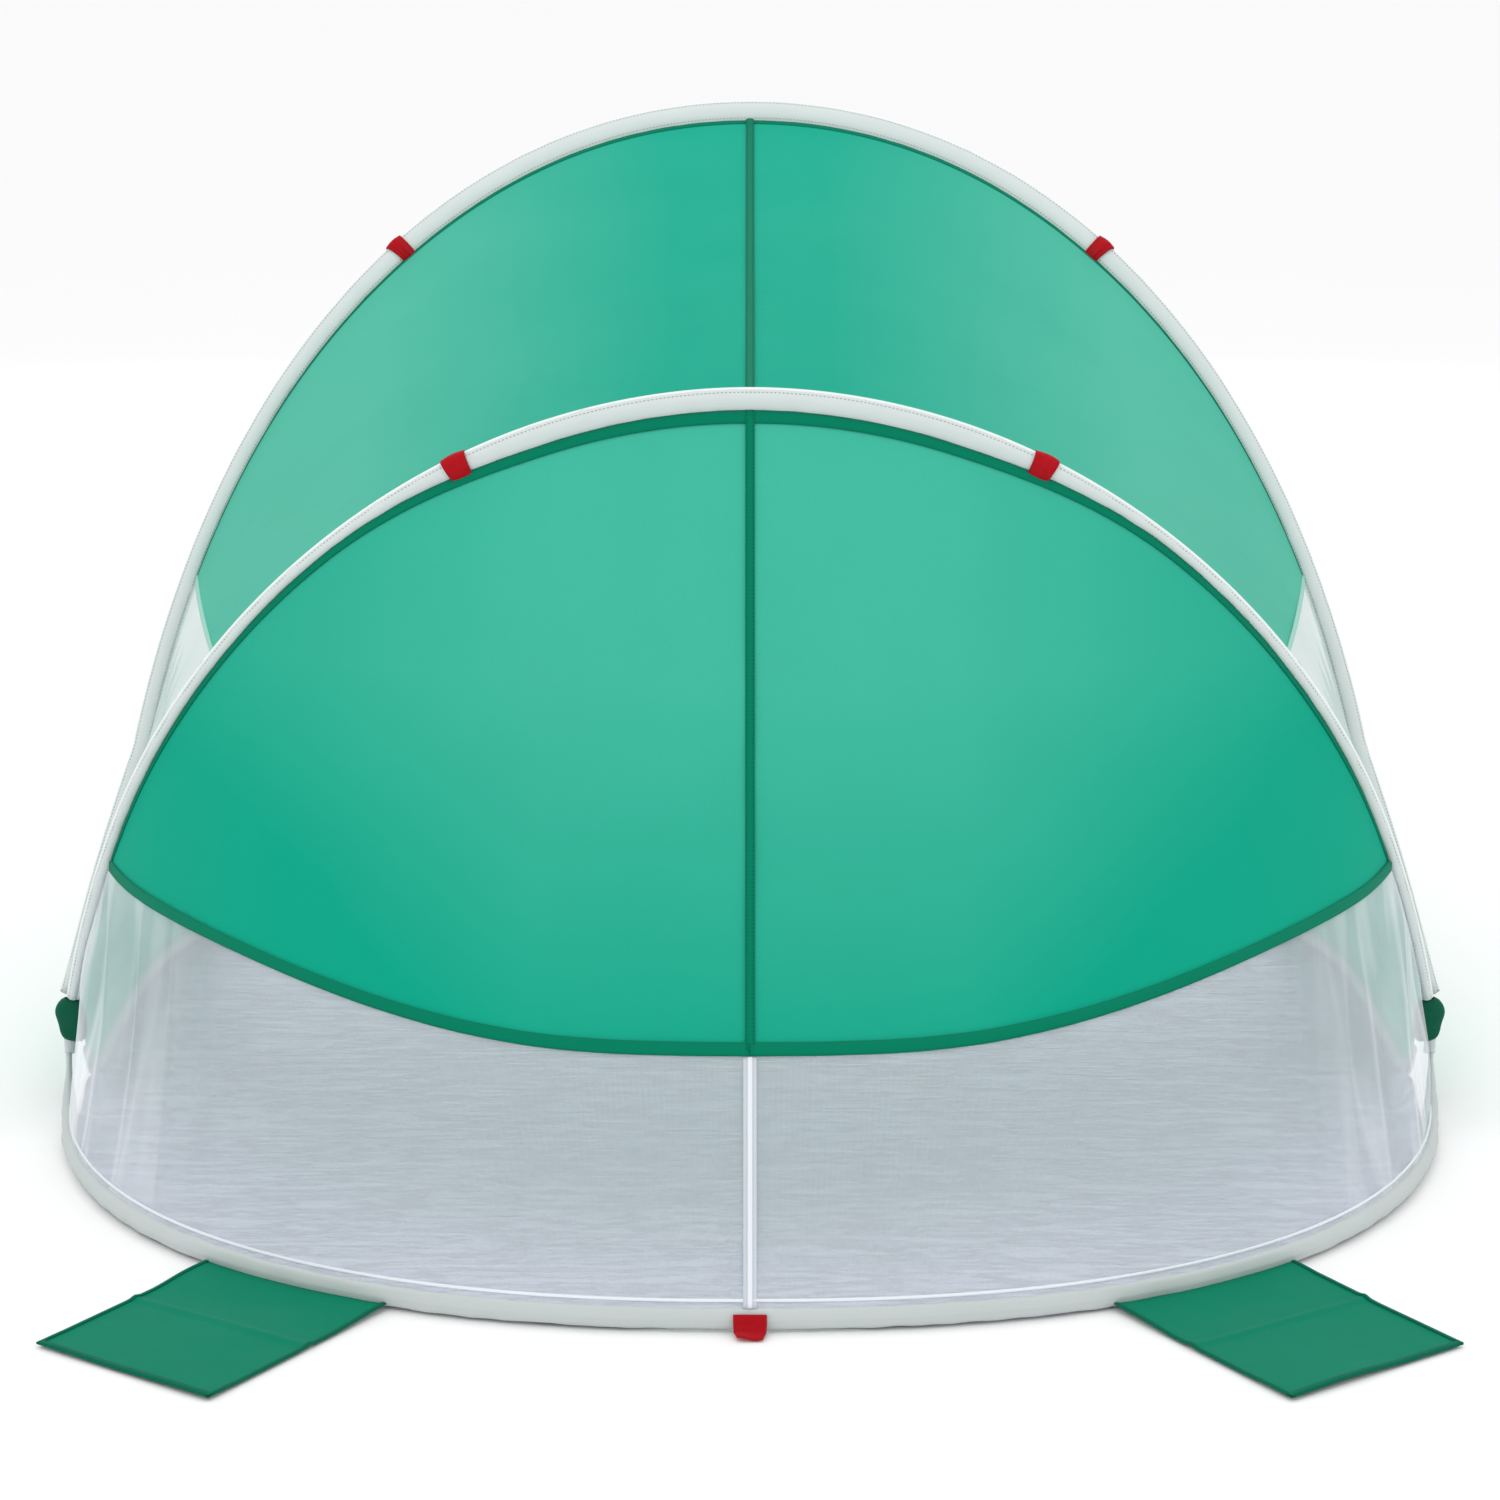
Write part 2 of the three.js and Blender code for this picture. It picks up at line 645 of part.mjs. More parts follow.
/** A webbing tab wrapped round an arch's sleeve. */
function tabGeometry(curve, sleeve, x, length) {
  const share = solve((t) => -curve.getPointAt(t).x, -x, 0, 0.5);
  const reach = length / 2 / curve.getLength();
  const width = bandWidth(sleeve, curve.getPointAt(share)) + 2 * TAB_FIT;
  const thick = sleeve.thick + 2 * TAB_FIT;
  const rectangle = ({ centre, outward, across }, w, h) => [[1, 1], [-1, 1], [-1, -1], [1, -1]]
    .map(([a, b]) => centre.clone()
      .addScaledVector(outward, (a * w) / 2)
      .addScaledVector(across, (b * h) / 2));
  const stations = [share - reach, share + reach].map((at) => {
    const station = stationOf(curve, at);
    return {
      outer: rectangle(station, width + 2 * TAB_WALL, thick + 2 * TAB_WALL),
      inner: rectangle(station, width, thick),
    };
  });
  return hollowTube(stations);
}

/** The peg tab at the rear: sewn up the sleeve's face, then flat on the ground. */
function pegTabGeometry() {
  const face = -REAR_RING.depth - GROUND_SLEEVE.full / 2 - PEG_TAB_FIT;
  const [half, tip] = [PEG_TAB_WIDTH / 2, PEG_TAB_TAPER / 2];
  const end = face - PEG_TAB_REACH;
  const flat = plate([[-half, face], [half, face], [tip, end], [-tip, end]], 0, CLOTH);
  const front = face - CLOTH;
  const upright = [[-half, face], [half, face], [half, front], [-half, front]];
  const rise = plate(upright, 0, PEG_TAB_RISE);
  return geometryOf(solidOf(flat).add(solidOf(rise)));
}

// ---------------------------------------------------------------- sand flaps

/** How far the rear sleeve reaches from the origin along a heading in plan. */
function sleeveReach(heading) {
  let best = 0;
  for (let i = 0; i <= REACH_STEPS; i += 1) {
    best = Math.max(best, rearRing.at((Math.PI * i) / REACH_STEPS).dot(heading));
  }
  return best + GROUND_SLEEVE.full / 2;
}

const flapHeading = vec(Math.cos(rad(FLAP_HEADING)), -Math.sin(rad(FLAP_HEADING)), 0);
const flapSide = vec(-flapHeading.y, flapHeading.x, 0);
const flapHinge = sleeveReach(flapHeading) + FLAP_GAP;
const flapEnd = flapHinge + FLAP_LENGTH;

/** A rectangle on the ground in the flap's own directions, from one distance to another. */
function flapRectangle(from, to, halfWidth) {
  return [[from, -halfWidth], [to, -halfWidth], [to, halfWidth], [from, halfWidth]]
    .map(([out, side]) => vec().addScaledVector(flapHeading, out)
      .addScaledVector(flapSide, FLAP_SHIFT + side))
    .map(({ x, y }) => [x, y]);
}

function flapGeometry() {
  const half = FLAP_WIDTH / 2 - BINDING - SEAM_GAP;
  return plate(flapRectangle(flapHinge, flapEnd - BINDING - SEAM_GAP, half), 0, FLAP_THICK);
}

/** The binding round the flap's three free edges. */
function flapBindingGeometry() {
  const half = FLAP_WIDTH / 2;
  const whole = solidOf(plate(flapRectangle(flapHinge, flapEnd, half), 0, FLAP_THICK));
  const middle = solidOf(plate(
    flapRectangle(flapHinge - BINDING, flapEnd - BINDING, half - BINDING),
    -FLAP_THICK,
    3 * FLAP_THICK,
  ));
  return geometryOf(whole.subtract(middle));
}

// ---------------------------------------------------------------- side gussets

/** The low coloured side wall from the front arch's leg to the floor's front corner. */
function gussetGeometry() {
  const offLeg = FRONT_SLEEVE.thick / 2 + CLEARANCE + CLOTH;
  const leg = (length) => frontArch.at(frontArch.angleAtClimb(length))
    .addScaledVector(frontArch.normal(), offLeg);
  const bottom = (v) => {
    const y = lerp(GUSSET_NEAR, FRONT_RING.depth - GUSSET_SHORT, v);
    const slope = ringHeight(y + 1) - ringHeight(y);
    const above = (GROUND_SLEEVE.thick / 2 + CLEARANCE) * Math.hypot(1, slope);
    return vec(frontRing.acrossAt(y), y, ringHeight(y) + above);
  };
  const peak = leg(GUSSET_HIGH);
  const tip = bottom(1).add(vec(0, 0, GUSSET_TIP));
  const top = (v) => (v < GUSSET_PEAK
    ? leg(lerp(GUSSET_LOW, GUSSET_HIGH, v / GUSSET_PEAK))
    : peak.clone().lerp(tip, (v - GUSSET_PEAK) / (1 - GUSSET_PEAK)));
  return sheet((u, v) => bottom(v).lerp(top(v), u), 3, 10);
}

// ---------------------------------------------------------------- the assembly

const object = new THREE.Group();

function add(name, geometry, finish) {
  const mesh = new THREE.Mesh(geometry, new THREE.MeshStandardMaterial(MATERIALS[finish]));
  mesh.name = name;
  object.add(mesh);
}

/** One mesh on each side: the shape is given for the +X side. */
function addPair(name, geometry, finish) {
  const right = geometry.index ? geometry.toNonIndexed() : geometry;
  add(`${name}_right`, right, finish);
  add(`${name}_left`, mirrored(right), finish);
}

const RINGS = [
  ['mid_arch', CURVES.mid, ARCH_SLEEVE],
  ['front_arch', CURVES.front, FRONT_SLEEVE],
  ['rear_ground', CURVES.rear, GROUND_SLEEVE],
  ['front_ground', CURVES.fore, GROUND_SLEEVE],
];
for (const [name, curve, sleeve] of RINGS) {
  add(`${name}_sleeve`, sleeveGeometry(curve, sleeve), 'white');
  add(`${name}_wire`, bar(curve, WIRE_RADIUS, STATIONS, WIRE_SIDES), 'steel');
}
add('rear_hoop_ferrule', ferruleGeometry(CURVES.rear), 'steel');
add('front_hoop_ferrule', ferruleGeometry(CURVES.fore), 'steel');

add('rear_floor_sheet', floorHalf(rearRing, FLOOR_CREASE_Y), 'floor');
add('front_floor_sheet', floorHalf(frontRing, FLOOR_CREASE_Y + CLEARANCE), 'floor');

addPair('rear_panel', rearPanel(), 'green');
addPair('rear_hem', rearHem(), 'darkGreen');
addPair('rear_net', rearNet(), 'net');
const middle = Math.PI / 2;
const seamEnd = hemShare(middle, 1);
add('rear_seam', rearStrip(SEAM_WIDTH, 0, seamEnd, CLOTH + 1), 'darkGreen');
add('rear_net_tape', rearStrip(TAPE_WIDTH, seamEnd + 2 * HEM_GAP_SHARE, 1, CLOTH), 'white');

addPair('roof_panel', roofPanel(), 'green');
add('roof_seam', roofSeam(), 'darkGreen');
addPair('side_net', sideNet(), 'net');
addPair('side_gusset', gussetGeometry(), 'green');

addPair('crossing_strap', strapGeometry(), 'darkGreen');
addPair('wire_guard', guardGeometry(), 'clear');
addPair('mid_tab', tabGeometry(CURVES.mid, ARCH_SLEEVE, MID_TAB_X, MID_TAB_LENGTH), 'red');
addPair('front_tab', tabGeometry(CURVES.front, FRONT_SLEEVE, FRONT_TAB_X, FRONT_TAB_LENGTH), 'red');
add('rear_peg_tab', pegTabGeometry(), 'red');

addPair('sand_flap', flapGeometry(), 'darkGreen');
addPair('sand_flap_binding', flapBindingGeometry(), 'darkGreen');

export default object;
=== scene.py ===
"""Pop-up hoop shelter: two sprung hoops in white sleeves, green cloth, a net window and a floor.

Everything is in metres in the shelter's own frame: +X across, +Y to the open front, +Z up.
"""

import json
import math

import bpy
import numpy as np
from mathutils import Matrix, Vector, noise


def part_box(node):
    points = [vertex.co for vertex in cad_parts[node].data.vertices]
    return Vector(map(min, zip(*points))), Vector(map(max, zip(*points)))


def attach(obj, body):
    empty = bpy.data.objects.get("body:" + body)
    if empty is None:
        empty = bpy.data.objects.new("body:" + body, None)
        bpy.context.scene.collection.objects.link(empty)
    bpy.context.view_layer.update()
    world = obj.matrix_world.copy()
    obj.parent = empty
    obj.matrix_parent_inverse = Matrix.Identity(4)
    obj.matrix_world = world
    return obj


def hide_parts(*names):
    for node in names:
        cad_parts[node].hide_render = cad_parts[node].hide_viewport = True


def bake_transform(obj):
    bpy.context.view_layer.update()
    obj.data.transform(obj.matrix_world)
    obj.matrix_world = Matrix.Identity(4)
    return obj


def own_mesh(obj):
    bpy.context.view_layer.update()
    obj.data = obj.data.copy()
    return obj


bl_info = {
    "name": "Pop-up hoop shelter",
    "version": (1, 0, 0),
    "blender": (4, 5, 0),
    "location": "View3D > Sidebar > Shelter",
    "description": "Builds the cloth, net, sleeves and trim of a pop-up hoop shelter",
    "category": "Object",
}

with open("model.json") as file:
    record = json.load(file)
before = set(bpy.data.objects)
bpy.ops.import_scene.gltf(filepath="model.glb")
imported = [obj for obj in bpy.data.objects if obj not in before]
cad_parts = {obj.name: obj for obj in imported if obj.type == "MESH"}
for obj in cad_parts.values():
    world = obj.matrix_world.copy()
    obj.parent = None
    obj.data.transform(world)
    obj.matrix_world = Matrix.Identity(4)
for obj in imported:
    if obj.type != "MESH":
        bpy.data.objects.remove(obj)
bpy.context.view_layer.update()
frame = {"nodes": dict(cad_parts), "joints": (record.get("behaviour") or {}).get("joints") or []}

# ------------------------------------------------------------ sizes shared with the frame

AXIS = np.array([0.0, 0.0, frame["joints"][0]["pos_m"][2]])  # every half ring folds about it
GROUND_HALF = 0.010  # half the height of a ground sleeve
GROUND_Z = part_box("rear_ground_sleeve")[0][2] + GROUND_HALF
RING_CLIMB = 0.09  # a ground ring climbs to its crossing over this length
RING_STOP = 0.028  # and stops this far below the fold axis
CROWN = math.pi / 2  # the angle at an arch's highest point
FLOOR_FACE = 0.0012  # the floor cloth's own height at rest
MID_LEAN = math.radians(-5.87)
FRONT_LEAN = math.radians(33)
SLEEVE_THICK = 0.012
SLEEVE_BEAD = 0.0022
SLEEVE_GATHER = 0.0009
PIPING_RADIUS = 0.0016
PIPING_TALL = 1.35  # height of the piping over its width
PIPING_SHARE = 0.46  # of a sleeve's width, from its middle to the piping
STITCH_PITCH = 0.004
STITCH_WIDE = 0.0005
STITCH_HIGH = 0.0006
STITCH_ENDS = (0.12, 0.82)  # where a stitch starts and ends, in shares of the pitch
STRAP_LOW, STRAP_HIGH = (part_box("crossing_strap_right")[k] for k in (0, 1))
GUARD_LOW, GUARD_HIGH = (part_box("wire_guard_right")[k] for k in (0, 1))
STRAP_SLIP = 0.005  # the wraps sit this much lower than the frame's straps
STRAP_WALL = 0.0018
STRAP_SQUARE = 3.2  # 2 is round, more is squarer
RIGHT, LEFT = 1, -1
SIDES = {"right": RIGHT, "left": LEFT}


def smooth(t):
    t = np.clip(t, 0, 1)
    return t * t * (3 - 2 * t)


def lerp(a, b, t):
    return a + (b - a) * t


def unit(v):
    return v / np.maximum(np.linalg.norm(v, axis=-1, keepdims=True), 1e-12)


def wrinkle(points, scale, seed=0.0):
    """Smooth noise from -1 to 1 at each point, the same on every run."""
    flat = np.asarray(points, float).reshape(-1, 3) * scale + seed
    found = [noise.noise(Vector(p)) for p in flat]
    return np.array(found).reshape(np.asarray(points).shape[:-1])


# ------------------------------------------------------------ the four half rings


class Arch:
    """A leaning superellipse arch. Angle 0 is the +X foot and pi the -X foot.

    n and m are the superellipse's powers, and base is where the leaning plane meets the ground.
    flare is how far the legs go out, below what length, to what power. sweep is how far they go
    back, below what length, and the foot's own length. wide is the sleeve's width at the foot and
    in full. narrow is its width where it twists edge-on, from what distance, over what distance.
    """

    def __init__(self, half, rise, n, m, lean, base, flare, sweep, wide, narrow):
        self.half, self.rise, self.n, self.m = half, rise, n, m
        self.lean, self.base, self.flare, self.sweep, self.wide = lean, base, flare, sweep, wide
        self.narrow = narrow
        self.normal = np.array([0, math.cos(lean), -math.sin(lean)])

    def climb(self, angle):
        return self.rise * np.abs(np.sin(angle)) ** (2 / self.m)

    def angle_at(self, length):
        return math.asin(min(1, (length / self.rise)) ** (self.m / 2))

    def at(self, angle):
        angle = np.asarray(angle, float)
        s = self.climb(angle)
        most, height, order = self.flare
        back, top, foot = self.sweep
        across = np.sign(np.cos(angle)) * np.abs(np.cos(angle)) ** (2 / self.n)
        out = most * np.maximum(0, 1 - s / height) ** order
        x = across * self.half + np.sign(across) * out
        y = self.base[0] + s * math.sin(self.lean)
        y = y - back * (np.maximum(0, top - s) / (top - foot)) ** 2
        return np.stack([x, y, self.base[1] + s * math.cos(self.lean)], -1)

    def width(self, centre):
        away = np.hypot(centre[..., 1], centre[..., 2] - AXIS[2])
        foot, full = self.wide
        side, start, over = self.narrow
        turned = lerp(side, full, smooth((start - np.abs(centre[..., 0])) / over))
        return lerp(foot, turned, smooth((away - 0.05) / 0.15))

    def turned(self, centre):
        """How far a sleeve that twists edge-on at the sides sits outside the wire's line."""
        return 0.4 * np.maximum(0, self.wide[1] - self.width(centre)) * smooth(centre[..., 2] / 0.4)

    def edge(self, angle, inset=0.0, lift=0.0):
        """A point beside the arch: inset from its middle, and lifted towards the front."""
        angle = np.asarray(angle, float)
        centre = self.at(angle)
        along = unit(self.at(angle + 1e-3) - self.at(angle - 1e-3))
        outward = unit(np.cross(np.broadcast_to(self.normal, along.shape), along))
        reach = self.width(centre)[..., None] / 2
        out = self.turned(centre)[..., None] - reach * inset
        return centre + outward * out + self.normal * lift

    def path(self, count, foot):
        """Even stations from foot to foot, with the directions along, outward and across."""
        start = self.angle_at(foot)
        angle = np.linspace(start, math.pi - start, 3000)
        return stations(self.at(angle), self.normal, count)


class GroundRing:
    """Half a superellipse on the ground whose ends climb to the crossings."""

    def __init__(self, half, depth, n, m, side, flare):
        self.half, self.depth, self.n, self.m = half, depth, n, m
        self.side, self.flare = side, flare

    def lift(self, out):
        near = np.maximum(0, 1 - out / RING_CLIMB)
        return GROUND_Z + (AXIS[2] - RING_STOP - GROUND_Z) * near**3

    def depth_at(self, x):
        inside = np.maximum(0, 1 - np.abs(np.asarray(x) / self.half) ** self.n)
        return self.depth * inside ** (1 / self.m)

    def across_at(self, y):
        inside = np.maximum(0, 1 - np.abs(np.asarray(y) / self.depth) ** self.m)
        return self.half * inside ** (1 / self.n)

    def path(self, count, foot):
        angle = np.linspace(0, math.pi, 3001)
        c, s = np.cos(angle), np.sin(angle)
        low, high = np.full_like(angle, 0.5), np.full_like(angle, 2.0)
        for _ in range(50):
            reach = (low + high) / 2
            small = (reach * np.abs(c)) ** self.n + (reach * s) ** self.m < 1
            low, high = np.where(small, reach, low), np.where(small, high, reach)
        out = self.depth * s * reach
        keep = out > foot
        near = np.maximum(0, 1 - out / RING_CLIMB)
        x = c * reach * self.half + np.sign(c) * self.flare * near
        points = np.stack([x, self.side * out, self.lift(out)], -1)[keep]
        return stations(points, np.array([0, 0, 1.0]), count)


def stations(points, normal, count):
    """Even stations along a polyline: middle, along, outward and across."""
    steps = np.linalg.norm(np.diff(points, axis=0), axis=1)
    length = np.concatenate([[0], np.cumsum(steps)])
    want = np.linspace(0, length[-1], count)
    centre = np.stack([np.interp(want, length, points[:, k]) for k in range(3)], -1)
    along = unit(np.gradient(centre, axis=0))
    outward = unit(np.cross(np.broadcast_to(normal, along.shape), along))
    flip = np.sign((outward * (centre - [0, 0, 0.3])).sum(-1).mean())
    outward = outward * flip
    return centre, along, outward, unit(np.cross(along, outward)), length[-1]


MID = Arch(
    half=0.6905, rise=0.695, n=1.967, m=1.85, lean=MID_LEAN, base=(0.0, 0.054),
    flare=(0.0176, 0.25, 2), sweep=(0.0, 0.3, 0.066),
    wide=(0.011, 0.025), narrow=(0.0125, 0.42, 0.22),
)
FRONT = Arch(
    half=0.671, rise=1.082, n=2.047, m=2.29, lean=FRONT_LEAN, base=(0.04, 0.05),
    flare=(0.047, 0.32, 1), sweep=(0.064, 0.3, 0.083),
    wide=(0.013, 0.026), narrow=(0.019, 0.62, 0.30),
)
REAR = GroundRing(half=0.696, depth=0.600, n=2.3, m=2.16, side=-1, flare=0.0095)
FORE = GroundRing(half=0.690, depth=0.665, n=5.5, m=5.5, side=1, flare=0.0)

# Lengths up the middle and the front arch at which the cloth between them ends.
ROOF_ENDS = (0.424, 0.516)
SIDE_ENDS = (0.085, 0.105)
WALL_END = 0.078
ROOF_FOOT = (MID.angle_at(ROOF_ENDS[0]), FRONT.angle_at(ROOF_ENDS[1]))
SIDE_FOOT = (MID.angle_at(SIDE_ENDS[0]), FRONT.angle_at(SIDE_ENDS[1]))
WALL_FOOT = MID.angle_at(WALL_END)


def hem_height(x):
    rise = smooth((np.abs(x) - HEM_FROM) / HEM_OVER) ** HEM_POWER
    return HEM_MIDDLE + HEM_RISE * rise


# ------------------------------------------------------------ mesh makers


def new_mesh(name, points, faces, uv=None, finish=None):
    mesh = bpy.data.meshes.new(name)
    mesh.from_pydata([tuple(p) for p in points], [], faces)
    if uv is not None:
        layer = mesh.uv_layers.new(name="cut")
        loops = np.zeros(len(mesh.loops), int)
        mesh.loops.foreach_get("vertex_index", loops)
        layer.data.foreach_set("uv", np.asarray(uv, float)[loops].ravel())
    mesh.polygons.foreach_set("use_smooth", [True] * len(mesh.polygons))
    mesh.validate()
    piece = bpy.data.objects.new(name, mesh)
    bpy.context.scene.collection.objects.link(piece)
    if finish:
        mesh.materials.append(finish)
    return piece


def cut_sizes(surface):
    """Distances over a grid of points, as UVs in metres."""
    down = np.linalg.norm(np.diff(surface, axis=1), axis=-1)
    across = np.linalg.norm(np.diff(surface, axis=0), axis=-1)
    v = np.concatenate([np.zeros((surface.shape[0], 1)), np.cumsum(down, 1)], 1)
    u = np.concatenate([np.zeros((1, surface.shape[1])), np.cumsum(across, 0)], 0)
    return np.stack([u, v], -1)


def cloth(name, surface, finish):
    """One layer of cloth over a grid of points."""
    rows, columns = surface.shape[:2]
    index = np.arange(rows * columns).reshape(rows, columns)
    faces = np.stack([index[:-1, :-1], index[1:, :-1], index[1:, 1:], index[:-1, 1:]], -1)
    uv = cut_sizes(surface).reshape(-1, 2)
    return new_mesh(name, surface.reshape(-1, 3), faces.reshape(-1, 4).tolist(), uv, finish)


def surface_normal(surface):
    return unit(np.cross(np.gradient(surface, axis=0), np.gradient(surface, axis=1)))


def tape(name, surface, thick, finish, crown=0.0):
    """A closed strip of webbing or doubled cloth over a grid, crowned across its width."""
    rows, columns = surface.shape[:2]
    normal = surface_normal(surface)
    across = np.linspace(-1, 1, rows)[:, None, None]
    raised = crown * (1 - across**2)
    top = surface + normal * (thick / 2 + raised)
    bottom = surface - normal * (thick / 2)
    points = np.concatenate([top.reshape(-1, 3), bottom.reshape(-1, 3)])
    half = rows * columns
    index = np.arange(half).reshape(rows, columns)
    quads = np.stack([index[:-1, :-1], index[1:, :-1], index[1:, 1:], index[:-1, 1:]], -1)
    quads = quads.reshape(-1, 4)
    faces = quads.tolist() + (quads[:, ::-1] + half).tolist()
    border = np.concatenate([index[:, 0], index[-1, 1:], index[-2::-1, -1], index[0, -2:0:-1]])
    for a, b in zip(border, np.roll(border, -1)):
        faces.append([int(a), int(a + half), int(b + half), int(b)])
    uv = np.concatenate([cut_sizes(surface).reshape(-1, 2)] * 2)
    return new_mesh(name, points, faces, uv, finish)


def swept(name, loops, finish):
    """A tube through loops of points, one loop for each station."""
    count, sides = loops.shape[:2]
    index = np.arange(count * sides).reshape(count, sides)
    after = np.roll(index, -1, axis=1)
    faces = np.stack([index[:-1], after[:-1], after[1:], index[1:]], -1).reshape(-1, 4).tolist()
    faces += [index[0, ::-1].tolist(), index[-1].tolist()]
    step = np.linalg.norm(np.diff(loops, axis=0, prepend=loops[:1]), axis=-1).mean(1)
    ring = np.linalg.norm(np.roll(loops, -1, axis=1) - loops, axis=-1).mean(0)
    v, u = np.meshgrid(np.cumsum(step), np.cumsum(ring), indexing="ij")
    uv = np.stack([u, v], -1).reshape(-1, 2)
    return new_mesh(name, loops.reshape(-1, 3), faces, uv, finish)


def shell(name, outer, inner, finish):
    """A loop of webbing: outer and inner loops of points at each station, open in the middle."""
    loops = np.concatenate([outer, inner[::-1]])
    count, sides = loops.shape[:2]
    index = np.arange(count * sides).reshape(count, sides)
    after = np.roll(index, -1, axis=1)
    nxt, nxt_after = np.roll(index, -1, axis=0), np.roll(after, -1, axis=0)
    faces = np.stack([index, after, nxt_after, nxt], -1).reshape(-1, 4).tolist()
    step = np.linalg.norm(np.diff(loops, axis=0, prepend=loops[:1]), axis=-1).mean(1)
    ring = np.linalg.norm(np.roll(loops, -1, axis=1) - loops, axis=-1).mean(0)
    v, u = np.meshgrid(np.cumsum(step), np.cumsum(ring), indexing="ij")
    uv = np.stack([u, v], -1).reshape(-1, 2)
    piece = new_mesh(name, loops.reshape(-1, 3), faces, uv, finish)
    piece.data.flip_normals()
    return piece


# ------------------------------------------------------------ shader expressions


class Wire:
    """A socket of a node tree that can stand in a Python expression."""

    def __init__(self, tree, socket):
        self.tree, self.socket = tree, socket

    def _do(self, operation, a, b):
        return self.tree.add("ShaderNodeMath", {"operation": operation}, {0: a, 1: b})

    def __add__(self, other):
        return self._do("ADD", self, other)

    def __radd__(self, other):
        return self._do("ADD", other, self)

    def __sub__(self, other):
        return self._do("SUBTRACT", self, other)

    def __rsub__(self, other):
        return self._do("SUBTRACT", other, self)

    def __mul__(self, other):
        return self._do("MULTIPLY", self, other)

    def __rmul__(self, other):
        return self._do("MULTIPLY", other, self)

    def __truediv__(self, other):
        return self._do("DIVIDE", self, other)

    def __rtruediv__(self, other):
        return self._do("DIVIDE", other, self)

    def sine(self):
        return self._do("SINE", self, 0.0)

    def size(self):
        return self._do("ABSOLUTE", self, 0.0)

    def clamp(self):
        return self.tree.add("ShaderNodeClamp", {}, {"Value": self})


class Finish:
    """One procedural material and its node tree."""

    def __init__(self, name):
        self.material = bpy.data.materials.new(name)
        self.material.use_nodes = True
        self.nodes = self.material.node_tree.nodes
        self.links = self.material.node_tree.links
        self.nodes.clear()
        self.output = self.nodes.new("ShaderNodeOutputMaterial")

    def add(self, kind, settings=None, sockets=None, out=0):
        node = self.nodes.new(kind)
        for key, value in (settings or {}).items():
            setattr(node, key, value)
        for key, value in (sockets or {}).items():
            if isinstance(value, Wire):
                self.links.new(value.socket, node.inputs[key])
            else:
                node.inputs[key].default_value = value
        return Wire(self, node.outputs[out])

    def place(self, which="Object"):
        outputs = ["Generated", "Normal", "UV", "Object"]
        return self.add("ShaderNodeTexCoord", out=outputs.index(which))

    def parts(self, vector):
        split = self.add("ShaderNodeSeparateXYZ", {}, {0: vector})
        return [Wire(self, split.socket.node.outputs[k]) for k in range(3)]

    def scaled(self, vector, factors):
        return self.add("ShaderNodeVectorMath", {"operation": "MULTIPLY"}, {0: vector, 1: factors})

    def fog(self, vector, scale, detail=3.0, rough=0.55):
        return self.add("ShaderNodeTexNoise", {}, {
            "Vector": vector, "Scale": scale, "Detail": detail, "Roughness": rough,
        })

    def blend(self, share, a, b):
        sockets = {0: share, 6: a, 7: b}
        return self.add("ShaderNodeMix", {"data_type": "RGBA"}, sockets, out=2)

    def weave(self, u, v, pitch):
        """Over-and-under threads: two crossing waves at the thread pitch, in metres."""
        turn = 2 * math.pi / pitch
        return ((u * turn).sine() * (v * turn).sine()) * 0.5 + 0.5

    def surface(self, colour, rough, bump=None, strength=0.3, reach=0.001, **constants):
        sockets = {"Base Color": colour, "Roughness": rough, "Specular IOR Level": 0.04}
        sockets.update({k.replace("_", " "): v for k, v in constants.items()})
        if bump is not None:
            sockets["Normal"] = self.add("ShaderNodeBump", {}, {
                "Strength": strength, "Distance": reach, "Height": bump,
            })
        return self.add("ShaderNodeBsdfPrincipled", {}, sockets)

    def done(self, shader):
        self.links.new(shader.socket, self.output.inputs["Surface"])
        return self.material


def rgb(r, g, b):
    """A shader colour from ordinary display values, 0 to 255."""
    linear = [((c / 255 + 0.055) / 1.055) ** 2.4 if c > 10 else c / 255 / 12.92 for c in (r, g, b)]
    return (*linear, 1.0)


def paler(colour, share):
    return (*[c + (1 - c) * share for c in colour[:3]], 1.0)


def darker(colour, share):
    return (*[c * (1 - share) for c in colour[:3]], 1.0)


def green_cloth(name, near, far, height=(0.0, 1.0), side=(0.0, 1.0, 0.0), glow=0.15):
    """Coated woven polyester whose tone turns from far to near with height and away from the sides;
    this turn is painted light and shade, standing for light coming through the cloth.
    """
    made = Finish(name)
    u, v, _ = made.parts(made.place("UV"))
    place = made.place()
    x, _, z = made.parts(place)
    threads = made.weave(u, v, 0.0016)
    crease = made.fog(made.scaled(place, (7.0, 7.0, 2.5)), 1.0, 4.0)
    broad = made.fog(place, 3.0, 2.0)
    pucker = made.fog(made.scaled(place, (14.0, 60.0, 90.0)), 1.0, 2.0)
    beside = (1.0 - (x - 0.016).size() * 60.0).clamp()
    low, over = height
    start, width, gain = side
    # Painted light and shade: the near tone's share follows height and distance from the sides, as
    # light through the cloth would.
    share = ((z - low) / over).clamp() - ((x.size() - start) / width).clamp() * gain
    share = (share + (broad - 0.5) * 0.25).clamp()
    tone = made.blend(share, far, near)
    # The threads darken the tone as a weave pattern; the creases darken it as painted shade in the
    # creases.
    tone = made.blend(threads * 0.10 + (crease - 0.4).clamp() * 0.2, tone, darker(near, 0.45))
    rough = 0.52 + crease * 0.16 + threads * 0.06
    bump = threads * 0.12 + crease * 2.2 + pucker * beside * 1.2
    top = made.surface(tone, rough, bump, 0.35, 0.002, Sheen_Weight=0.02, Sheen_Roughness=0.5)
    glow_tone = tuple((a + b) / 2 for a, b in zip(near, far))
    through = made.add("ShaderNodeBsdfTranslucent", {}, {"Color": glow_tone})
    return made.done(made.add("ShaderNodeMixShader", {}, {0: glow, 1: top, 2: through}))


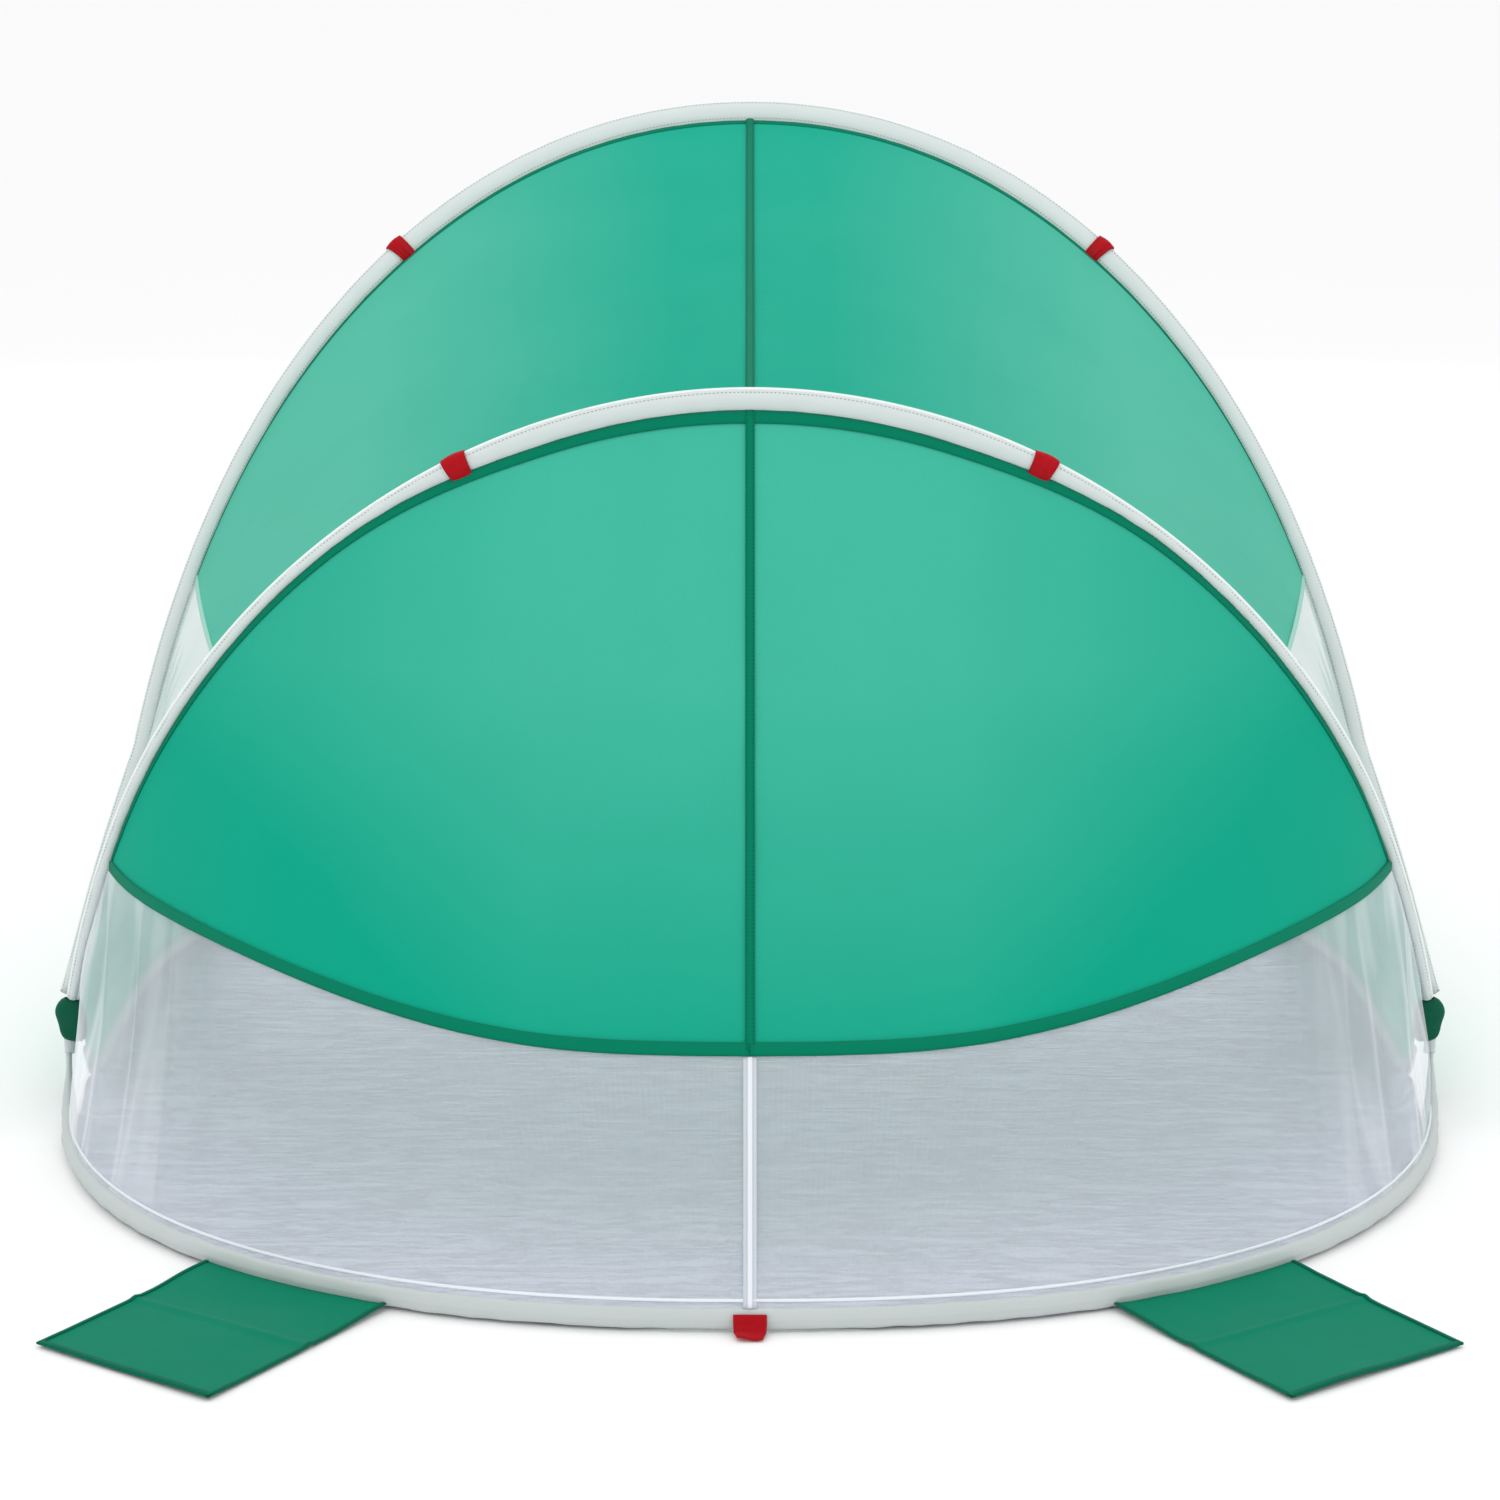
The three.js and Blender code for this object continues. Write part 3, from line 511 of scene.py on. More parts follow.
def plain_cloth(name, colour, pitch=0.0014, crease=1.2, rough=0.62, sheen=0.03, mottle=0.12):
    """Fine woven cloth in one colour, with soft creases and a little dust."""
    made = Finish(name)
    u, v, _ = made.parts(made.place("UV"))
    place = made.place()
    threads = made.weave(u, v, pitch)
    folds = made.fog(made.scaled(place, (26.0, 26.0, 26.0)), 1.0, 5.0, 0.6)
    dust = made.fog(place, 9.0, 4.0)
    tone = made.blend(dust * mottle * 2, colour, darker(colour, 0.25))
    tone = made.blend(threads * 0.12, tone, darker(colour, 0.4))
    bump = threads * 0.15 + folds * crease
    surface = made.surface(tone, rough + folds * 0.12, bump, 0.4, 0.0015,
                           Sheen_Weight=sheen, Sheen_Roughness=0.5)
    return made.done(surface)


def webbing(name, colour, dark):
    """Ribbed narrow webbing: a herringbone of ribs."""
    made = Finish(name)
    u, v, _ = made.parts(made.place("UV"))
    ribs = ((u + v * 0.6) * 3600.0).sine() * 0.5 + 0.5
    cross = (v * 2600.0).sine() * 0.5 + 0.5
    lint = made.fog(made.place(), 160.0, 3.0)
    tone = made.blend(ribs * 0.45, colour, dark)
    tone = made.blend(lint * 0.2, tone, paler(colour, 0.06))
    surface = made.surface(tone, 0.66 + lint * 0.15, ribs * 0.6 + cross * 0.4, 0.5, 0.0006,
                           Sheen_Weight=0.08, Sheen_Roughness=0.4)
    return made.done(surface)


def netting(name, colour, cover, side_from, side_cover, pitch=0.0022, folds=0.2):
    """Fine knitted net: holes between threads, and bright folds where it gathers at the sides."""
    made = Finish(name)
    cut = made.place("UV")
    u, v, _ = made.parts(cut)
    turn = 2 * math.pi / pitch
    holes = ((u * turn).sine() * (v * turn + u * turn * 0.5).sine()).size()
    x, _, _ = made.parts(made.place())
    side = ((x.size() - side_from) * 6.0).clamp()
    drape = made.fog(made.scaled(cut, (11.0, 1.2, 1.0)), 1.0, 2.0)
    ridge = (1.0 - (drape - 0.5).size() * 20.0).clamp() * side
    soft = made.fog(made.place(), 7.0, 3.0)
    alpha = cover + (0.4 - holes) * 0.16 + side * side_cover + (soft - 0.5) * side * 0.5
    alpha = (alpha + ridge * folds).clamp()
    tone = made.blend(ridge * folds * 4.0, colour, paler(colour, 0.6))
    surface = made.surface(tone, 0.75, drape, 0.3, 0.006, Sheen_Weight=0.03)
    made.links.new(alpha.socket, surface.socket.node.inputs["Alpha"])
    return made.done(surface)


def floor_cloth(name, colour):
    """Thin coated floor cloth with fine cross-ways wrinkles from packing; its tone follows the
    wrinkles as painted light and shade, darkest in the creases.
    """
    made = Finish(name)
    place = made.place()
    rumple = made.fog(made.scaled(place, (9.0, 60.0, 10.0)), 1.0, 5.0, 0.62)
    fine = made.fog(made.scaled(place, (34.0, 190.0, 20.0)), 1.0, 3.0)
    crease = (1.0 - (rumple - 0.5).size() * 22.0).clamp()
    u, v, _ = made.parts(made.place("UV"))
    threads = made.weave(u, v, 0.003)
    # Painted light and shade: the tone turns paler and darker with the rumples, and darker again in
    # the creases and fine wrinkles, following the bump.
    tone = made.blend((rumple * 2.4 - 0.7).clamp(), paler(colour, 0.12), darker(colour, 0.1))
    tone = made.blend(crease * 0.4 + (fine - 0.5).clamp() * 1.2, tone, darker(colour, 0.26))
    height = rumple * 4.0 + fine * 1.2 + threads * 0.05 - crease * 0.5
    return made.done(made.surface(tone, 0.42 + fine * 0.2, height, 0.8, 0.006,
                                  Sheen_Weight=0.02))


def spring_steel(name):
    made = Finish(name)
    place = made.place()
    drawn = made.fog(made.scaled(place, (40.0, 40.0, 400.0)), 1.0, 4.0)
    tone = made.blend(drawn * 0.6, rgb(150, 151, 155), rgb(110, 111, 116))
    return made.done(made.surface(tone, 0.28 + drawn * 0.2, drawn, 0.2, 0.0002,
                                  Metallic=1.0, Specular_IOR_Level=0.5))


def clear_tube(name):
    made = Finish(name)
    haze = made.fog(made.place(), 120.0, 3.0)
    tone = made.blend(haze * 0.4, rgb(214, 222, 222), rgb(190, 200, 202))
    surface = made.surface(tone, 0.18 + haze * 0.15, haze, 0.1, 0.0005,
                           Coat_Weight=0.4, Alpha=0.7)
    return made.done(surface)


def paint(node, finish):
    """A carried-over frame piece keeps its shape and takes a material."""
    piece = frame["nodes"][node]
    piece.data.materials.clear()
    piece.data.materials.append(finish)


# ------------------------------------------------------------ settings


class ShelterColours(bpy.types.PropertyGroup):
    """The colours a user would change, as display colours."""

    canopy: bpy.props.FloatVectorProperty(
        name="Canopy", description="Colour of the roof and back cloth", subtype="COLOR",
        size=4, min=0, max=1, default=rgb(68, 187, 161))
    # Canopy shade is painted shade: the tone the back cloth turns to low down and at the sides.
    canopy_painted_shade: bpy.props.FloatVectorProperty(
        name="Canopy shade", description="Deeper tone low down and at the sides",
        subtype="COLOR", size=4, min=0, max=1, default=rgb(0, 166, 136))
    # The roof's crown tone; the roof turns paler from it towards its sides as painted light.
    canopy_top: bpy.props.FloatVectorProperty(
        name="Roof top", description="Tone of the roof's crown", subtype="COLOR",
        size=4, min=0, max=1, default=rgb(20, 171, 144))
    trim: bpy.props.FloatVectorProperty(
        name="Trim", description="Colour of hems, seams and the sand flaps' binding",
        subtype="COLOR", size=4, min=0, max=1, default=rgb(0, 124, 94))
    flap: bpy.props.FloatVectorProperty(
        name="Sand flap", description="Colour of the sand flaps", subtype="COLOR",
        size=4, min=0, max=1, default=rgb(0, 129, 99))
    sleeve: bpy.props.FloatVectorProperty(
        name="Sleeve", description="Colour of the hoop sleeves", subtype="COLOR",
        size=4, min=0, max=1, default=rgb(216, 224, 223))
    webbing: bpy.props.FloatVectorProperty(
        name="Tabs", description="Colour of the webbing tabs", subtype="COLOR",
        size=4, min=0, max=1, default=rgb(184, 6, 22))


class ShelterSizes(bpy.types.PropertyGroup):
    """The sizes a user would change."""

    hem: bpy.props.FloatProperty(
        name="Hem", description="Width of the hem above the net window", unit="LENGTH",
        default=0.013, min=0.004, max=0.04)
    # The edging band's darker tone is painted shade from the middle sleeve.
    edging_shade: bpy.props.FloatProperty(
        name="Edging", description="Width of the doubled cloth below the middle hoop",
        unit="LENGTH", default=0.012, min=0.002, max=0.04)
    seam: bpy.props.FloatProperty(
        name="Seam", description="Width of the middle seams", unit="LENGTH",
        default=0.009, min=0.003, max=0.03)
    sag: bpy.props.FloatProperty(
        name="Sag", description="How far the roof dips between the hoops", unit="LENGTH",
        default=0.014, min=0, max=0.05)
    floor_wrinkle: bpy.props.FloatProperty(
        name="Floor wrinkles", description="Height of the floor's wrinkles", unit="LENGTH",
        default=0.004, min=0, max=0.02)


def sizes():
    return bpy.context.scene.shelter_sizes


def colour(which):
    return tuple(getattr(bpy.context.scene.shelter_colours, which))


FINISHES = {}


def finish(name):
    """The named material, made once."""
    if name not in FINISHES:
        green, painted_shade_tone, trim = colour("canopy"), colour("canopy_painted_shade"), colour("trim")
        makers = {
            # The roof is painted paler towards its sides than at its crown: painted light, from light
            # through the cloth.
            "roof": lambda: green_cloth("roof_cloth", colour("canopy_top"), paler(green, 0.04),
                                        (-2.0, 1.0), (0.08, 0.36, 1.1)),
            # The back cloth turns deeper low down and at the sides: painted shade, against the painted
            # light of its bright upper middle.
            "back": lambda: green_cloth("back_cloth", green, painted_shade_tone, (0.18, 0.32),
                                        (0.2, 0.36, 0.7)),
            # The gusset is painted paler higher up and darker low down: painted light and shade.
            "gusset": lambda: green_cloth("gusset_cloth", paler(green, 0.1), green, (0.0, 0.3)),
            # The roof's lower edge is painted paler than the roof: a painted highlight along the edge.
            "roof_edge_highlight": lambda: plain_cloth("roof_edge_highlight", paler(green, 0.3), 0.0012, 0.8, 0.55),
            "stitch": lambda: plain_cloth("green_stitch", darker(trim, 0.45), 0.0006, 0.3),
            "thread": lambda: plain_cloth("grey_thread", rgb(150, 158, 158), 0.0006, 0.3),
            "tape_edge": lambda: plain_cloth("white_tape_edge", rgb(205, 211, 219), 0.001, 0.4),
            "trim": lambda: plain_cloth("green_trim", trim, 0.0012, 0.8, 0.55),
            "flap": lambda: plain_cloth("flap_cloth", colour("flap"), 0.0016, 1.6, 0.5, 0.02, 0.2),
            "flap_edge": lambda: plain_cloth("flap_edge", darker(colour("flap"), 0.35), 0.0012),
            "sleeve": lambda: plain_cloth("sleeve_cloth", colour("sleeve"), 0.0011, 1.0),
            # The ground sleeves are the sleeve cloth made darker: painted shade, not a different
            # cloth.
            "ground_sleeve": lambda: plain_cloth(
                "ground_sleeve_cloth", darker(colour("sleeve"), 0.18), 0.0011, 1.4),
            "piping": lambda: plain_cloth("piping", rgb(242, 250, 247), 0.001, 0.4),
            "tape": lambda: plain_cloth("white_tape", rgb(232, 237, 243), 0.001, 0.4),
            "tabs": lambda: webbing("red_webbing", colour("webbing"), rgb(120, 6, 18)),
            "strap": lambda: webbing("strap_webbing", rgb(10, 96, 70), rgb(4, 52, 38)),
            "window": lambda: netting(
                "window_net", rgb(240, 244, 250), cover=0.32, side_from=0.52, side_cover=0.12),
            # The side net is the white net toned down to grey-green: painted shade under the roof,
            # with a green cast from the cloth.
            "side": lambda: netting(
                "side_net", rgb(198, 214, 211), cover=0.72, pitch=0.002, folds=0.0,
                side_from=0.3, side_cover=0.1),
            "floor": lambda: floor_cloth("floor_cloth", rgb(207, 212, 232)),
            "steel": lambda: spring_steel("spring_steel"),
            "clear": lambda: clear_tube("clear_tube"),
        }
        FINISHES[name] = makers[name]()
    return FINISHES[name]


# ------------------------------------------------------------ sleeves

MID_SLEEVE_FOOT = 0.058  # lengths up each arch at which its sleeve starts
FRONT_SLEEVE_FOOT = 0.075
RING_STATIONS = 300
RING_FOOT = 0.007  # a ground sleeve starts this far out from the crossings
RING_TAPER = 12.0  # stations over which its ends grow to full size
RING_END_SHARE = 0.62  # size of its ends
RING_WIDTH_END = 0.010
RING_WIDTH_MIDDLE = 0.0115
RING_WIDTH_SIDE = 0.0165
RING_THICK = 0.0198
RING_BEAD = 0.001
RING_GATHER = 0.0011
RING_LOWEST = 0.0006


def sleeve_loop(path, width, thick, bead, sides=15):
    """Loops round a flat sleeve: a soft lens with a raised piped bead along each edge."""
    centre, _, outward, across, _ = path
    u = np.cos(np.linspace(0, math.pi, sides))
    body = 0.5 * thick * (1 - np.abs(u) ** 2.4) ** 0.75
    edge = bead * np.sqrt(np.maximum(0, 1 - ((np.abs(u) - 0.88) / 0.12) ** 2))
    half = np.maximum(body, edge)
    around_u = np.concatenate([u, u[-2:0:-1]])
    around_w = np.concatenate([half, -half[-2:0:-1]])
    w = np.broadcast_to(width, (len(centre),))[:, None, None]
    return (centre[:, None] + outward[:, None] * (around_u[None, :, None] * w / 2)
            + across[:, None] * around_w[None, :, None])


def ruffled(loops, path, amount, scale, seed):
    """Small gathers over a sleeve."""
    centre = path[0][:, None]
    push = wrinkle(loops, scale, seed)[..., None] * amount
    return loops + unit(loops - centre) * push


def build_arch_sleeve(name, arch, foot, node, body, seed):
    path = arch.path(260, foot)
    width = arch.width(path[0])
    path = (path[0] + path[2] * arch.turned(path[0])[:, None], *path[1:])
    loops = sleeve_loop(path, width, SLEEVE_THICK, SLEEVE_BEAD)
    loops = ruffled(loops, path, SLEEVE_GATHER, 55.0, seed)
    piece = swept(name, loops, finish("sleeve"))
    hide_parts(node)
    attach(piece, body)
    for edge, word in ((1, "outer"), (-1, "inner")):
        cord = beading(f"{name}_{word}_piping", path, width * PIPING_SHARE * edge)
        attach(cord, body)
        for face, where in ((1, "front"), (-1, "back")):
            reach = (width * 0.40 * edge - 0.0008 * edge)[:, None]
            line = path[0] + path[2] * reach + path[3] * face * SLEEVE_THICK * 0.33
            stitches(f"{name}_{word}_{where}_stitch", line, path[3][0] * face, None,
                     body, "thread")


def beading(name, path, offset):
    """A round piped edge that runs along a sleeve."""
    centre, _, outward, across, _ = path
    turn = np.linspace(0, 2 * math.pi, 9)[:-1]
    middle = centre + outward * offset[:, None]
    loops = (middle[:, None] + outward[:, None] * (np.cos(turn) * PIPING_RADIUS)[None, :, None]
             + across[:, None] * (np.sin(turn) * PIPING_RADIUS * PIPING_TALL)[None, :, None])
    return swept(name, loops, finish("piping"))


class SHELTER_OT_sleeves(bpy.types.Operator):
    """Make the piped sleeves of the two arches and the two ground rings"""

    bl_idname = "shelter.sleeves"
    bl_label = "Hoop sleeves"

    def execute(self, context):
        build_arch_sleeve("mid_sleeve_cloth", MID, MID_SLEEVE_FOOT, "mid_arch_sleeve", "mid_arch", 3.0)
        build_arch_sleeve("front_sleeve_cloth", FRONT, FRONT_SLEEVE_FOOT, "front_arch_sleeve",
                          "front_arch", 8.0)
        for name, ring, node, body in (
            ("rear_ground_cloth", REAR, "rear_ground_sleeve", "rear_floor"),
            ("front_ground_cloth", FORE, "front_ground_sleeve", "front_floor"),
        ):
            path = ring.path(RING_STATIONS, RING_FOOT)
            station = np.arange(RING_STATIONS)
            slim = smooth(np.minimum(station, station[::-1]) / RING_TAPER)
            side_share = smooth((np.abs(path[0][:, 0]) - 0.4) / 0.25)
            wide = lerp(RING_WIDTH_MIDDLE, RING_WIDTH_SIDE, side_share)
            loops = sleeve_loop(path, lerp(RING_WIDTH_END, wide, slim), RING_THICK, RING_BEAD, 17)
            centre = path[0][:, None]
            loops = centre + (loops - centre) * lerp(RING_END_SHARE, 1.0, slim)[:, None, None]
            loops = ruffled(loops, path, RING_GATHER, 42.0, 5.0)
            loops[..., 2] = np.maximum(loops[..., 2], RING_LOWEST)
            piece = swept(name, loops, finish("ground_sleeve"))
            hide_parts(node)
            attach(piece, body)
        return {"FINISHED"}


class SHELTER_OT_wires(bpy.types.Operator):
    """Give the hoops' steel wire and ferrules their material"""

    bl_idname = "shelter.wires"
    bl_label = "Hoop wire"

    def execute(self, context):
        for node in frame["nodes"]:
            if node.endswith("_wire") or node.endswith("_ferrule"):
                paint(node, finish("steel"))
        return {"FINISHED"}


# ------------------------------------------------------------ roof and sides

FRONT_INSET = 0.75  # the roof joins the front sleeve this share of its half width inside
WALL_OUT = np.array([0, -0.8, 0.6])  # square to the back wall, outwards


def roof_points(along, share):
    """The cloth between the middle arch (share 0) and the front arch (share 1)."""
    mid_angle = lerp(CROWN, ROOF_FOOT[0], along)
    front_angle = lerp(CROWN, ROOF_FOOT[1], along)
    return between_arches(mid_angle, front_angle, share, 1 - 1.25 * np.asarray(along) ** 5)


def between_arches(mid_angle, front_angle, share, slack=1.0):
    back = MID.edge(mid_angle, 0.0, SLEEVE_THICK * 0.42)
    ahead = FRONT.edge(front_angle, FRONT_INSET, 0.0)
    share = np.asarray(share)[..., None]
    point = lerp(back, ahead, share)
    out = unit(np.concatenate([point[..., :1], 0 * point[..., :1], point[..., 2:] - AXIS[2]], -1))
    slack = np.broadcast_to(slack, share.shape[:-1])[..., None]
    return point - out * (sizes().sag * slack * 4 * share * (1 - share))


def mirrored(surface, side):
    return surface * np.array([side, 1, 1])


def grid(rows, columns):
    return np.meshgrid(np.linspace(0, 1, rows), np.linspace(0, 1, columns), indexing="ij")


def blend_roof(piece):
    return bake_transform(piece)


class SHELTER_OT_roof(bpy.types.Operator):
    """Make the roof cloth with its middle seam and its edges"""

    bl_idname = "shelter.roof"
    bl_label = "Roof"

    def execute(self, context):
        along, share = grid(90, 60)
        seam = sizes().seam
        for word, side in SIDES.items():
            surface = mirrored(roof_points(along, share), side)
            ripple = wrinkle(surface, np.array([9.0, 3.0, 9.0]), 2.0) * 0.0022
            edge = (4 * share * (1 - share))[..., None]
            surface = surface + surface_normal(surface) * ripple[..., None] * edge
            piece = cloth(f"roof_cloth_{word}", surface, finish("roof"))
            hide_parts(f"roof_panel_{word}")
            blend_roof(piece)
            trim = self.edges(word, side)
            declare_sheet(piece)
        line, down = grid(7, 60)
        strip = between_arches(0 * line + CROWN, 0 * line + CROWN, down)
        strip[..., 0] = lerp(-seam / 2, seam / 2, line)
        strip[..., 2] += 0.0012
        piece = tape("roof_seam_cloth", strip, 0.0014, finish("trim"), 0.0009)
        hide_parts("roof_seam")
        blend_roof(piece)
        stitches("roof_stitch_right", strip[5] + [0, 0, 0.0012], [0, 0.3, 1], blend_roof)
        stitches("roof_stitch_left", strip[1] + [0, 0, 0.0012], [0, 0.3, 1], blend_roof)
        return {"FINISHED"}

    def edges(self, word, side):
        """The turned lower edge, painted pale as a highlight, and the dark line of stitching along the
        front sleeve.
        """
        across, share = grid(4, 60)
        low = mirrored(roof_points(lerp(0.994, 1.001, across), share), side)
        lower = tape(f"roof_lower_edge_{word}", low, 0.0016, finish("roof_edge_highlight"), 0.0003)
        along, near = grid(90, 4)
        line = mirrored(roof_points(along, lerp(0.985, 1.0, near)), side)
        front = tape(f"roof_front_edge_{word}", line, 0.0014, finish("trim"))
        for piece in (lower, front):
            blend_roof(piece)
        return [lower, front]


def declare_sheet(piece):
    """Read a cloth's UVs, the size of its own flat cut; they are not used further."""
    mesh = piece.data
    uv = np.zeros(2 * len(mesh.loops))
    mesh.uv_layers[0].data.foreach_get("uv", uv)


def stitches(name, line, up, join=None, body=None, tone="stitch"):
    """A row of thread stitches along a line of points."""
    steps = np.linalg.norm(np.diff(line, axis=0), axis=1)
    length = np.concatenate([[0], np.cumsum(steps)])
    count = max(2, int(length[-1] / STITCH_PITCH))
    points, faces = [], []
    up = unit(np.array(up, float))
    for k in range(count):
        ends = (k + np.array(STITCH_ENDS)) * STITCH_PITCH
        a, b = (np.array([np.interp(e, length, line[:, j]) for j in range(3)]) for e in ends)
        side = unit(np.cross(b - a, up)) * STITCH_WIDE
        middle = (a + b) / 2 + up * STITCH_HIGH
        base = len(points)
        points += [a, middle + side, b, middle - side]
        faces.append([base, base + 1, base + 2, base + 3])
    piece = new_mesh(name, points, faces, np.zeros((len(points), 2)), finish(tone))
    if join:
        join(piece)
    else:
        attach(piece, body)
    return piece


class SHELTER_OT_sides(bpy.types.Operator):
    """Make the white side nets between the arches, below the roof"""

    bl_idname = "shelter.sides"
    bl_label = "Side nets"

    def execute(self, context):
        along, share = grid(60, 30)
        for word, side in SIDES.items():
            mid_angle = lerp(ROOF_FOOT[0], SIDE_FOOT[0], along)
            front_angle = lerp(ROOF_FOOT[1], SIDE_FOOT[1], along)
            slack = lerp(-0.25, 0.2, smooth(along * 3))
            surface = mirrored(between_arches(mid_angle, front_angle, share, slack), side)
            folds = np.sin(along * 2.0 + share * 34.0) * 0.0028 * np.sin(math.pi * share)
            folds = folds * smooth(along * 4)
            surface = surface + surface_normal(surface) * folds[..., None]
            piece = cloth(f"side_net_cloth_{word}", surface, finish("side"))
            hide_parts(f"side_net_{word}")
            blend_roof(piece)
            declare_sheet(piece)
            patch = surface[2:4, 1:3] + surface_normal(surface)[2:4, 1:3] * 0.0016 * side
            tack = tape(f"side_bar_tack_{word}", patch, 0.0012, finish("thread"))
            blend_roof(tack)
        return {"FINISHED"}


# ------------------------------------------------------------ back wall

SEAM_ABOVE = 0.009  # the net's ground seam starts this far above the wall's foot
SEAM_TALL = 0.003
HEM_MIDDLE = 0.212  # height of the hem in the middle
HEM_RISE = 0.046  # and how much higher it is at the sides
HEM_FROM = 0.1  # it starts to rise this far from the middle
HEM_OVER = 0.5  # and rises over this width
HEM_POWER = 1.3


def wall_points(angle, share, lift=0.0):
    """The back wall from under the middle sleeve down to the rear ground sleeve."""
    angle, share = np.asarray(angle, float), np.asarray(share, float)[..., None]
    top = MID.edge(angle, 0.8, -0.003)
    depth = REAR.depth_at(top[..., 0])
    foot = np.stack([top[..., 0], -depth, REAR.lift(depth) + 0.009], -1)
    point = lerp(top, foot, share)
    sag = 0.007 * 4 * share * (1 - share) * smooth((depth[..., None] - 0.1) / 0.3)
    return point - WALL_OUT * (sag - lift)


def wall_drop(angle):
    """Length of the back wall at an angle, from the middle sleeve to the ground sleeve."""
    return np.linalg.norm(wall_points(angle, 0 * angle) - wall_points(angle, 0 * angle + 1), axis=-1)


def hem_share(angle):
    top, foot = wall_points(angle, 0 * angle), wall_points(angle, 0 * angle + 1)
    return np.clip((top[..., 2] - hem_height(top[..., 0])) / (top[..., 2] - foot[..., 2]), 0, 1)


def hem_foot_angle():
    """Where the hem meets the middle sleeve."""
    low, high = WALL_FOOT, CROWN
    for _ in range(40):
        middle = (low + high) / 2
        if hem_share(np.array(middle)) < 0.02:
            low = middle
        else:
            high = middle
    return high


def blend_wall(piece):
    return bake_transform(piece)


class SHELTER_OT_back(bpy.types.Operator):
    """Make the green back cloth with its seam, edging and hem; the edging is a dark band of painted
    shade under the middle sleeve
    """

    bl_idname = "shelter.back"
    bl_label = "Back cloth"

    def execute(self, context):
        foot = hem_foot_angle()
        along, share = grid(110, 60)
        angle = lerp(CROWN, foot, along)
        for word, side in SIDES.items():
            surface = mirrored(wall_points(angle, share * hem_share(angle)), side)
            loose = (4 * share * (1 - share))[..., None]
            ripple = wrinkle(surface, np.array([5.0, 9.0, 9.0]), 6.0) * 0.0020
            surface = surface + surface_normal(surface) * ripple[..., None] * loose
            piece = cloth(f"back_cloth_{word}", surface, finish("back"))
            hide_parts(f"rear_panel_{word}", f"rear_hem_{word}")
            blend_wall(piece)
            trim = self.hem(word, side, foot) + [self.edging_shade(word, side, foot)]
            declare_sheet(piece)
        self.seam()
        return {"FINISHED"}

    def hem(self, word, side, foot):
        across, along = grid(5, 110)
        angle = lerp(CROWN, foot, along)
        drop = sizes().hem / wall_drop(angle)
        share = hem_share(angle) + (across - 0.75) * drop
        surface = mirrored(wall_points(angle, np.maximum(share, 0), 0.0016), side)
        wave = wrinkle(surface, 24.0, 4.0) * 0.0006
        surface = surface + surface_normal(surface) * wave[..., None]
        strip = tape(f"back_hem_{word}", surface, 0.0022, finish("trim"), 0.0008)
        join = stitches(f"back_hem_stitch_{word}", surface[1], WALL_OUT, blend_wall)
        blend_wall(strip)
        return [strip, join]

    def edging_shade(self, word, side, foot):
        """Doubled cloth that shows as a darker band just below the sleeve; the band's dark tone is
        painted shade cast by the sleeve.
        """
        across, along = grid(4, 110)
        angle = lerp(CROWN, foot + 0.01, along)
        reach = wall_drop(angle)
        band = sizes().edging_shade * lerp(1.15, 0.6, along)
        surface = mirrored(wall_points(angle, across * band / reach, 0.0012), side)
        piece = tape(f"back_edging_{word}", surface, 0.0012, finish("trim"))
        return blend_wall(piece)

    def seam(self):
        line, down = grid(7, 70)
        angle = 0 * line + CROWN
        strip = wall_points(angle, down * hem_share(angle), 0.0014)
        strip[..., 0] = lerp(-sizes().seam / 2, sizes().seam / 2, line)
        piece = tape("back_seam_cloth", strip, 0.0016, finish("trim"), 0.0010)
        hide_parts("rear_seam")
        blend_wall(piece)
        for word, row in (("right", 5), ("left", 1)):
            lifted = strip[row] + np.array([0, -0.0012, 0.0009])
            stitches(f"back_seam_stitch_{word}", lifted, WALL_OUT, blend_wall)


